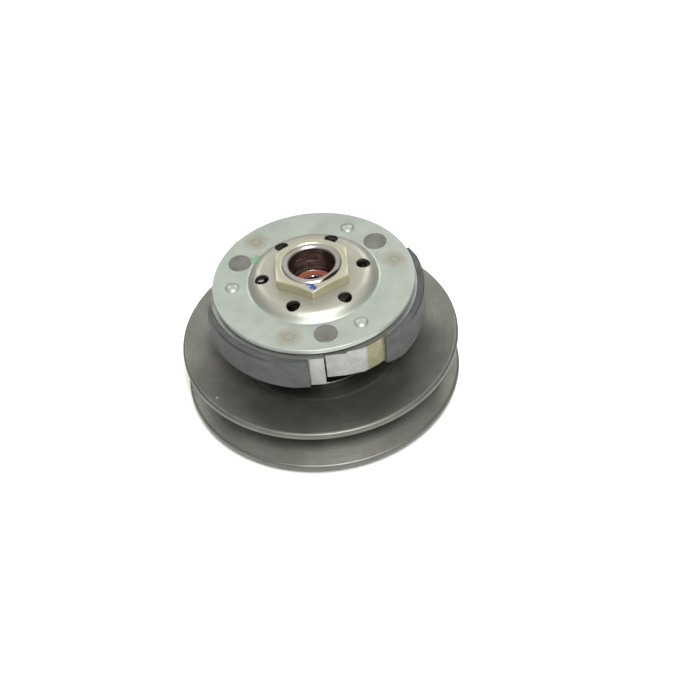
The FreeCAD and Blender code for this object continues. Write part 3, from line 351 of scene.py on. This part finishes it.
    def bump(self, height, depth_mm):
        """Relief, added over the reliefs before it."""
        node = self.add("ShaderNodeBump")
        self.feed(node.inputs["Height"], height)
        self.feed(node.inputs["Distance"], depth_mm * MM)
        self.feed(node.inputs["Normal"], self.normal)
        self.normal = node.outputs["Normal"]
        self.feed(self.shader.inputs["Normal"], self.normal)


# ---------------------------------------------------------------- colours, as red, green and blue

SHEAVE_TONES = ((0.185, 0.183, 0.170), (0.25, 0.247, 0.23))
# painted shade on the rounded rim of each disc
SHEAVE_RIM_SHADE = (0.09, 0.089, 0.083)
SHEAVE_GRIT = (0.11, 0.108, 0.1)
NICK = (0.75, 0.75, 0.74)
HUB_TONES = ((0.44, 0.41, 0.40), (0.55, 0.52, 0.51))
BORE_DARK = (0.060, 0.036, 0.028)
ZINC_TONES = ((0.335, 0.370, 0.338), (0.40, 0.434, 0.398))
ZINC_GRAIN = (0.30, 0.33, 0.31)
DOME = (0.37, 0.362, 0.312)
STOP_SMUDGE = (0.27, 0.255, 0.20)
STOP_RING = (0.17, 0.16, 0.13)
# painted shade round the foot of each raised stud
STUD_FOOT_SHADE = (0.12, 0.12, 0.115)
GREEN_MARK = (0.16, 0.36, 0.17)
HOLE_SHADE = (0.02, 0.019, 0.017)
NUT_TONES = ((0.37, 0.357, 0.27), (0.46, 0.448, 0.352))
# the nut's sides: a yellower tone, darkened as painted shade
NUT_SIDES_TONE_AND_SHADE = (0.40, 0.365, 0.245)
BLUE_PAINT = (0.02, 0.06, 0.34)
ALUMINIUM_TONES = ((0.31, 0.314, 0.314), (0.40, 0.405, 0.405))
GLUE = (0.245, 0.232, 0.112)
LINING_TONES = ((0.052, 0.055, 0.057), (0.080, 0.084, 0.086))
LINING_GRAIN = (0.028, 0.03, 0.032)
LINING_SPECK = (0.19, 0.2, 0.2)
# painted shade along the lining's upper edge
LINING_EDGE_SHADE = (0.008, 0.009, 0.010)
PIN_TONES = ((0.185, 0.185, 0.178), (0.245, 0.245, 0.235))
BEARING_TONES = ((0.68, 0.66, 0.64), (0.8, 0.79, 0.78))
SPRING_TONES = ((0.035, 0.035, 0.036), (0.07, 0.07, 0.072))
SMALL_SPRING_TONES = ((0.45, 0.45, 0.46), (0.6, 0.6, 0.6))
CAGE_TONES = ((0.55, 0.5, 0.4), (0.66, 0.61, 0.5))
ORANGE_TONES = ((0.20, 0.045, 0.022), (0.28, 0.075, 0.035))
BLACK_TONES = ((0.012, 0.012, 0.013), (0.03, 0.03, 0.032))


# ---------------------------------------------------------------- materials


def turned_steel(name, tones, roughness, ring_depth, metallic=1.0):
    """Steel with fine rings round the pulley's axis and soft stains."""
    paint = Paint(name, Metallic=metallic)
    radius = paint.radius()
    noise_row = 0.02
    ring_place = paint.vector(radius, noise_row, paint.z)
    rings = paint.noise(grains_per_mm=5.0, detail=6.0, roughness=0.7, place=ring_place)
    streaks_per_mm, streaks_per_radian = 2.2, 3.0
    across = paint.math("MULTIPLY", radius, streaks_per_mm)
    along = paint.math("MULTIPLY", paint.azimuth(), streaks_per_radian)
    streak_place = paint.vector(across, along, paint.z)
    streaks = paint.noise(grains_per_mm=1.0, detail=5.0, place=streak_place)
    paint.patches(paint.noise(grains_per_mm=0.06, detail=5.0), tones)
    streak_shade = 0.7
    streak_tone = [part * streak_shade for part in tones[0]]
    paint.tint(paint.remap(streaks, low=0.35, high=0.8, to_high=0.4), streak_tone)
    paint.rough_by(rings, roughness)
    paint.bump(rings, ring_depth)
    pit_share = 0.6
    paint.bump(paint.noise(grains_per_mm=3.0), ring_depth * pit_share)
    return paint


def sheave_steel():
    """Matt gritty phosphated steel with painted shade at the rim, and one bright nick on the back.
    """
    paint = turned_steel("sheave_steel", SHEAVE_TONES, 0.46, ring_depth=0.03, metallic=0.92)
    # painted shade: the rim's outer edge made darker
    rim_start, rim_end = DISC_RADIUS / MM - 1.6, DISC_RADIUS / MM - 0.6
    paint.tint(paint.remap(paint.radius(), rim_start, rim_end), SHEAVE_RIM_SHADE, most=0.5)
    grit = paint.noise(grains_per_mm=1.7, detail=3.0, roughness=0.8)
    paint.tint(paint.remap(grit, low=0.5, high=0.75, to_high=0.35), SHEAVE_GRIT)
    paint.bump(grit, 0.05)
    nick_place = around(62.5 * MM, math.radians(214))
    nick = paint.spot(nick_place, 0.55, ragged=0.35, grains_per_mm=1.5)
    back = SLIDING_HIGH.z / MM - 4.0
    above = paint.remap(paint.z, SLIDING_LOW.z / MM, back)
    paint.tint(paint.product(nick, above), NICK, most=0.9)
    return paint.material


def hub_steel():
    """Ground steel; the bore is painted near black brown and bored in coarse rings."""
    paint = turned_steel("hub_steel", HUB_TONES, 0.3, ring_depth=0.012)
    # the bore's wall, below its lip, is painted near black brown
    wall, top = HUB_BORE / MM, HUB_HIGH.z / MM
    inside = paint.remap(paint.radius(), wall + 0.35, wall + 0.1)
    below_lip = paint.remap(paint.z, top - 0.6, top - 1.2)
    bore = paint.product(inside, below_lip)
    paint.tint(bore, BORE_DARK, most=0.96)
    by_height = paint.vector(0.0, 0.0, paint.z)
    bored = paint.noise(grains_per_mm=2.2, detail=3.0, place=by_height)
    paint.bump(paint.product(bored, bore), 1.1)
    return paint.material


def mark_stops(paint):
    """Brown smudge with a darker ring over each stop pin."""
    smudge_radius, ring_radius = 5.4, 2.5
    for index in range(len(SHOES)):
        stop = around(STOP_CIRCLE, STOP_AZIMUTH + THIRD * index)
        smudge = paint.spot(stop, smudge_radius, ragged=1.2, grains_per_mm=0.3, soft=0.45)
        paint.tint(smudge, STOP_SMUDGE, most=0.6)
        ring = paint.spot(stop, ring_radius)
        hollow = paint.remap(paint.away(stop), low=1.3, high=2.1)
        paint.tint(paint.product(ring, hollow), STOP_RING, most=0.4)


def shade_stud_feet(paint):
    """Painted shade: a dark line round the foot of each raised stud."""
    foot_radius = 3.4
    for index in range(len(SHOES)):
        stud = around(STUD_CIRCLE, STUD_AZIMUTH + THIRD * index)
        foot = paint.spot(stud, foot_radius)
        outside = paint.remap(paint.away(stud), low=2.5, high=3.1)
        paint.tint(paint.product(foot, outside), STUD_FOOT_SHADE, most=0.55)


def shade_tool_holes(paint):
    """Near black inside the tool holes, below the dome's top face."""
    hole_radius = 3.4
    top = PLATE_HIGH.z / MM
    below_top = paint.remap(paint.z, top - 0.5, top - 1.0)
    for index in range(TOOL_HOLES):
        hole = around(TOOL_CIRCLE, TOOL_AZIMUTH + 2 * math.pi * index / TOOL_HOLES)
        inside = paint.spot(hole, hole_radius, soft=0.02)
        paint.tint(paint.product(inside, below_top), HOLE_SHADE, most=0.9)


def zinc_plate():
    """Pale zinc on rolled steel: grain, soft clouds, warmer dome, marks of handling, and painted
    shade round the studs and inside the tool holes.
    """
    paint = Paint("zinc_plate", Metallic=0.7)
    grain = paint.noise(grains_per_mm=2.6, detail=6.0, roughness=0.7)
    clouds = paint.noise(grains_per_mm=0.09, detail=5.0)
    paint.patches(clouds, ZINC_TONES)
    paint.tint(paint.remap(grain, low=0.35, high=0.75, to_high=0.3), ZINC_GRAIN)
    dome_start, dome_end = DOME_FOOT / MM + 0.3, DOME_SHOULDER / MM + 0.8
    paint.tint(paint.remap(paint.radius(), dome_start, dome_end), DOME, most=0.85)
    mark_stops(paint)
    shade_stud_feet(paint)
    mark_place = around(31.0 * MM, math.radians(145.5))
    paint.tint(paint.spot(mark_place, 2.9, ragged=1.2, grains_per_mm=0.5), GREEN_MARK, most=0.75)
    shade_tool_holes(paint)
    paint.rough(paint.remap(grain, low=0.25, high=0.8, to_low=0.36, to_high=0.54))
    paint.bump(grain, 0.05)
    paint.bump(clouds, 0.25)
    return paint.material


def nut_zinc():
    """Pale yellow zinc with painted shade and a yellower tone on the sides, and two dabs of blue
    paint by the front corner.
    """
    paint = Paint("nut_zinc", Metallic=0.65)
    grain = paint.noise(grains_per_mm=2.2, detail=6.0, roughness=0.65)
    paint.patches(grain, NUT_TONES)
    top = NUT_HIGH.z / MM
    # painted shade, with a yellower tone, on the sides below the top face
    paint.tint(paint.remap(paint.z, top - 0.6, top - 1.6), NUT_SIDES_TONE_AND_SHADE, most=0.8)
    for radius, azimuth, width in ((14.6, 264.0, 1.7), (16.7, 268.0, 1.5)):
        place = around(radius * MM, math.radians(azimuth))
        dab = paint.spot(place, width, ragged=0.8, grains_per_mm=0.8)
        paint.tint(dab, BLUE_PAINT, most=0.9)
    paint.rough(paint.remap(grain, low=0.25, high=0.8, to_low=0.32, to_high=0.48))
    paint.bump(grain, 0.04)
    return paint.material


def plain_metal(name, tones, roughness, grains_per_mm, relief, metallic=1.0):
    """Bare metal with a grain of that relief in mm, lighter and darker in patches."""
    paint = Paint(name, Metallic=metallic)
    grain = paint.noise(grains_per_mm, detail=6.0, roughness=0.65)
    paint.patches(paint.noise(grains_per_mm=0.15, detail=4.0), tones)
    grain_shade = 0.6
    grain_tone = [part * grain_shade for part in tones[0]]
    paint.tint(paint.remap(grain, low=0.4, high=0.8, to_high=0.35), grain_tone)
    paint.rough_by(grain, roughness)
    paint.bump(grain, relief)
    return paint


def shoe_aluminium():
    """Die-cast silver skin, with brownish glue beside the lining on the heel."""
    paint = plain_metal(
        "shoe_aluminium", ALUMINIUM_TONES, 0.42, grains_per_mm=1.4, relief=0.09, metallic=0.8
    )
    glue_start, glue_end = 20.2, 34.0
    strip = paint.band(paint.from_pivot(), glue_start, glue_end, soft=0.9)
    outside = paint.remap(paint.radius(), low=47.4, high=48.4)
    blotches = paint.noise(grains_per_mm=0.35, detail=4.0)
    ragged = paint.remap(blotches, low=0.3, high=0.6, to_low=0.6)
    paint.tint(paint.product(strip, outside, ragged), GLUE, most=0.9)
    return paint.material


def friction_lining():
    """Dark slate composite with pale and dark specks, and painted shade along its upper edge."""
    paint = Paint("friction_lining", Specular_IOR_Level=0.35)
    grain = paint.noise(grains_per_mm=1.6, detail=8.0, roughness=0.75)
    specks = paint.cells(grains_per_mm=1.3)
    paint.patches(paint.noise(grains_per_mm=0.12, detail=4.0), LINING_TONES)
    paint.tint(paint.remap(grain, low=0.35, high=0.8, to_high=0.5), LINING_GRAIN)
    paint.tint(paint.remap(specks, low=0.22, high=0.08, to_high=0.4), LINING_SPECK)
    # painted shade along the upper edge of the outer face, strongest in the middle of the shoe
    top, face = LINING_HIGH.z / MM, LINING_FACE / MM
    edge = paint.remap(paint.z, top - 2.2, top - 0.6)
    outside = paint.remap(paint.radius(), face - 0.9, face - 0.3)
    shade_start, shade_end = 52.0, 88.0
    middle = paint.band(paint.from_pivot(), shade_start, shade_end, soft=8.0)
    paint.tint(paint.product(edge, outside, middle), LINING_EDGE_SHADE, most=0.85)
    paint.rough(paint.remap(grain, low=0.2, high=0.8, to_low=0.5, to_high=0.75))
    paint.bump(grain, 0.12)
    paint.bump(specks, 0.04)
    return paint.material


def rubber(name, tones):
    """Moulded rubber or plastic with a fine dusty skin."""
    paint = Paint(name, Specular_IOR_Level=0.4)
    grain = paint.noise(grains_per_mm=2.5, detail=5.0)
    paint.patches(grain, tones)
    paint.rough(paint.remap(grain, low=0.2, high=0.8, to_low=0.42, to_high=0.6))
    paint.bump(grain, 0.03)
    return paint.material


def pin_steel():
    return plain_metal("pin_steel", PIN_TONES, 0.45, grains_per_mm=2.0, relief=0.06).material


def bearing_steel():
    return plain_metal("bearing_steel", BEARING_TONES, 0.2, grains_per_mm=3.0, relief=0.008).material


def spring_steel():
    return plain_metal("spring_steel", SPRING_TONES, 0.42, grains_per_mm=1.0, relief=0.03).material


def small_spring_steel():
    name, tones = "small_spring_steel", SMALL_SPRING_TONES
    return plain_metal(name, tones, 0.3, grains_per_mm=2.0, relief=0.02).material


def make_materials():
    """Every slot's finish, by the slot's name."""
    return {
        "sheave_steel": sheave_steel(),
        "hub_steel": hub_steel(),
        "zinc_plate": zinc_plate(),
        "nut_zinc": nut_zinc(),
        "pin_steel": pin_steel(),
        "bearing_steel": bearing_steel(),
        "cage_polymer": rubber("cage_polymer", CAGE_TONES),
        "orange_rubber": rubber("orange_rubber", ORANGE_TONES),
        "black_rubber": rubber("black_rubber", BLACK_TONES),
        "spring_steel": spring_steel(),
        "small_spring_steel": small_spring_steel(),
        "shoe_aluminium": shoe_aluminium(),
        "friction_lining": friction_lining(),
    }


MATERIALS = make_materials()
NODE_SLOTS = {part["node"]: part["material_slot"] for part in frame["record"]["subparts"]}


# ---------------------------------------------------------------- tools for shapes

WELD_DISTANCE = 0.002 * MM
FLAT_ANGLE = math.radians(0.4)
SHARP_ANGLE = math.radians(28)
BEVEL_STEPS = 3
CORNER_STEPS = 5
RING_STEPS = 288


def mesh_object(name, shape):
    """Turn a bmesh into a smooth-shaded object."""
    bmesh.ops.recalc_face_normals(shape, faces=shape.faces)
    mesh = bpy.data.meshes.new(name)
    shape.to_mesh(mesh)
    shape.free()
    for face in mesh.polygons:
        face.use_smooth = True
    return add_object(name, mesh)


def finish_piece(piece, body, *nodes):
    """Give a piece its finish, its body and the CAD nodes that it stands for."""
    wear_finish(piece, NODE_SLOTS[nodes[0]])
    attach(piece, body)
    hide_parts(*nodes)


def wear_finish(piece, slot_name):
    """Give a piece its slot and the slot's material."""
    piece.data.materials.clear()
    piece.data.materials.append(MATERIALS[slot_name])


def rounded_copy(node, edge_round):
    """A copy of a CAD node with its flat facets joined and its sharp edges rounded."""
    shape = bmesh.new()
    shape.from_mesh(frame["nodes"][node].data)
    bmesh.ops.remove_doubles(shape, verts=shape.verts, dist=WELD_DISTANCE)
    bmesh.ops.dissolve_limit(
        shape, angle_limit=FLAT_ANGLE, verts=shape.verts, edges=shape.edges
    )
    piece = mesh_object(f"{node}_skin", shape)
    bevel = piece.modifiers.new("edges", "BEVEL")
    bevel.limit_method = "ANGLE"
    bevel.angle_limit = SHARP_ANGLE
    bevel.width = edge_round
    bevel.segments = BEVEL_STEPS
    weigh = piece.modifiers.new("shading", "WEIGHTED_NORMAL")
    weigh.keep_sharp = True
    return piece


def corner_arc(before, corner, after, rounding):
    """Points that round one corner of an outline."""
    to_before = (before - corner).normalized()
    to_after = (after - corner).normalized()
    half = to_before.angle(to_after) / 2
    reach = rounding / math.tan(half)
    centre = corner + (to_before + to_after).normalized() * (rounding / math.sin(half))
    start = corner + to_before * reach - centre
    sweep = start.angle_signed(corner + to_after * reach - centre)
    angles = [-sweep * step / CORNER_STEPS for step in range(CORNER_STEPS + 1)]
    return [centre + Matrix.Rotation(angle, 2) @ start for angle in angles]


def rounded_outline(corners):
    """Closed outline through corners of (across, up, rounding)."""
    points = [Vector((across, up)) for across, up, _ in corners]
    outline = []
    for index, (_, _, rounding) in enumerate(corners):
        before = points[index - 1]
        after = points[(index + 1) % len(points)]
        outline += corner_arc(before, points[index], after, rounding)
    return outline


def revolved(name, corners):
    """Smooth ring with that outline of (radius, height, rounding)."""
    outline = rounded_outline(corners)
    shape = bmesh.new()
    rings = []
    for step in range(RING_STEPS):
        azimuth = 2 * math.pi * step / RING_STEPS
        rings.append([shape.verts.new(around(point.x, azimuth, point.y)) for point in outline])
    for step, ring in enumerate(rings):
        join_rings(shape, ring, rings[(step + 1) % RING_STEPS])
    return mesh_object(name, shape)


def join_rings(shape, ring, following):
    """Faces between two rings of as many points."""
    for index in range(len(ring)):
        nearby = (index + 1) % len(ring)
        shape.faces.new((ring[index], following[index], following[nearby], ring[nearby]))


def wire_along(name, path, wire_radius, sides):
    """Round wire through the points of a path, closed at both ends."""
    shape = bmesh.new()
    across = (path[1] - path[0]).orthogonal().normalized()
    rings = []
    for index, point in enumerate(path):
        along = (path[min(index + 1, len(path) - 1)] - path[max(index - 1, 0)]).normalized()
        across = (across - along * across.dot(along)).normalized()
        beside = along.cross(across)
        ring = []
        for side in range(sides):
            angle = 2 * math.pi * side / sides
            offset_across = across * (wire_radius * math.cos(angle))
            offset_beside = beside * (wire_radius * math.sin(angle))
            ring.append(shape.verts.new(point + offset_across + offset_beside))
        rings.append(ring)
    for ring, following in zip(rings, rings[1:]):
        join_rings(shape, ring, following)
    shape.faces.new(rings[0])
    shape.faces.new(rings[-1])
    return mesh_object(name, shape)


# ---------------------------------------------------------------- belt discs

RIM_ROUND = 1.4 * MM
EDGE_ROUND = 0.35 * MM
FLAT_ROUND = 2.0 * MM
TURNED_RADIUS = 39.2 * MM
TURNED_HALF = 0.8 * MM
TURNED_DEPTH = 0.2 * MM
TURNED_ROUND = 0.5 * MM
GROOVE_ROUND = TURNED_ROUND / 4


def make_fixed_disc():
    """Lower pressed disc; its cone falls from the flat middle to the rim."""
    ring = revolved("fixed_disc", (
        (HUB_RADIUS, FIXED_HIGH.z - DISC_WALL, EDGE_ROUND),
        (DISC_FLAT, FIXED_HIGH.z - DISC_WALL, FLAT_ROUND),
        (DISC_RADIUS, FIXED_LOW.z, RIM_ROUND),
        (DISC_RADIUS, FIXED_LOW.z + DISC_WALL, RIM_ROUND),
        (DISC_FLAT, FIXED_HIGH.z, FLAT_ROUND),
        (HUB_RADIUS, FIXED_HIGH.z, EDGE_ROUND),
    ))
    finish_piece(ring, "pulley", "fixed_sheave")


def back_height(radius):
    """Height of the sliding disc's back at that radius."""
    return SLIDING_HIGH.z - (DISC_RADIUS - radius) * DISC_SLOPE


def make_sliding_disc():
    """Upper pressed disc, with a shallow turned groove on its back."""
    inner, outer = TURNED_RADIUS - TURNED_HALF, TURNED_RADIUS + TURNED_HALF
    inner_lip, outer_lip = inner - TURNED_ROUND, outer + TURNED_ROUND
    floor = back_height(TURNED_RADIUS) - TURNED_DEPTH
    bore = SLEEVE_HIGH.x
    ring = revolved("sliding_disc", (
        (bore, SLIDING_LOW.z, EDGE_ROUND),
        (DISC_FLAT, SLIDING_LOW.z, FLAT_ROUND),
        (DISC_RADIUS, SLIDING_HIGH.z - DISC_WALL, RIM_ROUND),
        (DISC_RADIUS, SLIDING_HIGH.z, RIM_ROUND),
        (outer_lip, back_height(outer_lip), TURNED_ROUND),
        (outer, floor, GROOVE_ROUND),
        (inner, floor, GROOVE_ROUND),
        (inner_lip, back_height(inner_lip), TURNED_ROUND),
        (DISC_FLAT, SLIDING_LOW.z + DISC_WALL, FLAT_ROUND),
        (bore, SLIDING_LOW.z + DISC_WALL, EDGE_ROUND),
    ))
    finish_piece(ring, "sliding_disc", "sliding_sheave")


# ---------------------------------------------------------------- main spring

SPRING_WIRE = 2.0 * MM
SPRING_RADIUS = SPRING_HIGH.x - SPRING_WIRE
SPRING_TURNS = 6.5
SPRING_STEPS_PER_TURN = 64
SPRING_SIDES = 14
# the ends are ground flat, down to half of the wire
GROUND_SHARE = 0.5


def spring_height(turn):
    """Height of the wire's middle: one closed turn at each end, an even pitch between them."""
    first = SPRING_LOW.z + SPRING_WIRE * GROUND_SHARE
    last = SPRING_HIGH.z - SPRING_WIRE * GROUND_SHARE
    closed = 2 * SPRING_WIRE
    if turn < 1:
        return first + closed * turn
    if turn > SPRING_TURNS - 1:
        return last - closed * (SPRING_TURNS - turn)
    share = (turn - 1) / (SPRING_TURNS - 2)
    return first + closed + (last - first - 2 * closed) * share


def make_main_spring():
    """Compression spring with closed ends ground flat."""
    steps = int(SPRING_TURNS * SPRING_STEPS_PER_TURN)
    turns = [step / SPRING_STEPS_PER_TURN for step in range(steps + 1)]
    path = [around(SPRING_RADIUS, 2 * math.pi * turn, spring_height(turn)) for turn in turns]
    spring = wire_along("main_spring_coil", path, SPRING_WIRE, SPRING_SIDES)
    for point in spring.data.vertices:
        point.co.z = min(max(point.co.z, SPRING_LOW.z), SPRING_HIGH.z)
    finish_piece(spring, "pulley", "main_spring")
    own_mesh(spring)


# ---------------------------------------------------------------- shoe springs

SHOE_SPRING_WIRE = 0.55 * MM
SHOE_SPRING_RADIUS = 2.65 * MM
SHOE_SPRING_HEIGHT = 50.0 * MM
SHOE_SPRING_LENGTH = 27.0 * MM
SHOE_SPRING_TURNS = 19
SHOE_SPRING_STEPS = 24
SHOE_SPRING_SIDES = 10
HOOK_REACH = 2.2 * MM
HOOK_CLEAR = 1.5 * SHOE_SPRING_WIRE
CURVE_ROUNDS = 3
WEB_TOP = 60.6 * MM
# radius and azimuth of a shoe's two spring holes, with its pivot on +X and the shoe swung out
TOE_HOOK = (42.0 * MM, math.radians(78.5))
HEEL_HOOK = (41.6 * MM, math.radians(23.6))


def hook_place(shoe, hook):
    """A spring hole of a shoe at rest: swung in about its pivot, then turned to its place."""
    pivot = Vector((PIVOT_CIRCLE, 0, 0))
    swung = Matrix.Rotation(REST_SWING, 3, "Z") @ (around(*hook) - pivot) + pivot
    return Matrix.Rotation(PIVOT_AZIMUTH + THIRD * (shoe - 1), 3, "Z") @ swung


def hook_path(coil_end, hole, outward):
    """From the coil's last turn inwards to its axis, along it, up through the hole and over."""
    up = Vector((0, 0, 1))
    above = WEB_TOP + HOOK_CLEAR
    foot = hole + up * SHOE_SPRING_HEIGHT
    return smooth_path((
        coil_end,
        coil_end + outward * SHOE_SPRING_WIRE * 2,
        foot - outward * HOOK_REACH,
        foot + up * HOOK_REACH,
        hole + up * (above - HOOK_REACH / 2),
        hole + up * above + outward * HOOK_REACH,
    ))


def smooth_path(corners):
    """Points on a soft curve that starts and ends on the first and last corner."""
    points = list(corners)
    for _ in range(CURVE_ROUNDS):
        finer = [points[0]]
        for here, after in zip(points, points[1:]):
            finer += [here.lerp(after, 1 / 4), here.lerp(after, 3 / 4)]
        points = finer + [points[-1]]
    return points


def coil_path(middle, along):
    """Points on a close coil round a level line."""
    start = middle - along * SHOE_SPRING_LENGTH / 2
    across = along.cross(Vector((0, 0, 1)))
    steps = SHOE_SPRING_TURNS * SHOE_SPRING_STEPS
    path = []
    for step in range(steps + 1):
        share = step / steps
        turn = Matrix.Rotation(2 * math.pi * SHOE_SPRING_TURNS * share, 3, along)
        point = start + along * (SHOE_SPRING_LENGTH * share)
        path.append(point + turn @ across * SHOE_SPRING_RADIUS)
    return path


def make_shoe_spring(shoe):
    """Coil between two shoes, and a hook at each end bent through its own shoe's spring hole."""
    following = shoe % len(SHOES) + 1
    toe = hook_place(shoe, TOE_HOOK)
    heel = hook_place(following, HEEL_HOOK)
    along = (heel - toe).normalized()
    level = Vector((0, 0, SHOE_SPRING_HEIGHT))
    path = coil_path((toe + heel) / 2 + level, along)
    coil = wire_along(f"shoe_spring_{shoe}_coil", path, SHOE_SPRING_WIRE, SHOE_SPRING_SIDES)
    finish_piece(coil, "pulley", f"shoe_spring_{shoe}")
    ends = ((path[0], toe, -along, shoe), (path[-1], heel, along, following))
    for coil_end, hole, outward, owner in ends:
        name = f"shoe_spring_{shoe}_hook_{owner}"
        bend = hook_path(coil_end, hole, outward)
        hook = wire_along(name, bend, SHOE_SPRING_WIRE, SHOE_SPRING_SIDES)
        wear_finish(hook, "small_spring_steel")
        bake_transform(hook)


# ---------------------------------------------------------------- carry over and rounded copies

ROUNDING_MM = {
    "clutch_plate": 0.3, "clutch_nut": 0.45, "fixed_hub": 0.25, "pivot_pins": 0.14,
    **{f"lining_{shoe}": 0.3 for shoe in SHOES},
    **{f"shoe_{shoe}": 0.4 for shoe in SHOES},
    "ball_outer_race": 0.12, "ball_inner_race": 0.15, "bearing_seals": 0.12,
    "seal_collar": 0.2, "e_clips": 0.12, "pivot_washers": 0.15, "damper_rubbers": 0.25,
}


def dress_nodes():
    """Every node that stays as the CAD drew it gets its finish."""
    for node, thing in frame["nodes"].items():
        thing.data.materials.clear()
        thing.data.materials.append(MATERIALS[NODE_SLOTS[node]])


def make_rounded():
    """Copies with rounded edges stand for the nodes whose edges show."""
    for node, edge_round in ROUNDING_MM.items():
        piece = rounded_copy(node, edge_round * MM)
        finish_piece(piece, frame["nodes"][node]["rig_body"], node)


# ---------------------------------------------------------------- the whole scene

add_camera()
add_floor()
add_lights()
dress_nodes()
make_fixed_disc()
make_sliding_disc()
make_rounded()
make_main_spring()
for number in SHOES:
    make_shoe_spring(number)

bpy.context.scene.view_settings.view_transform = "Standard"
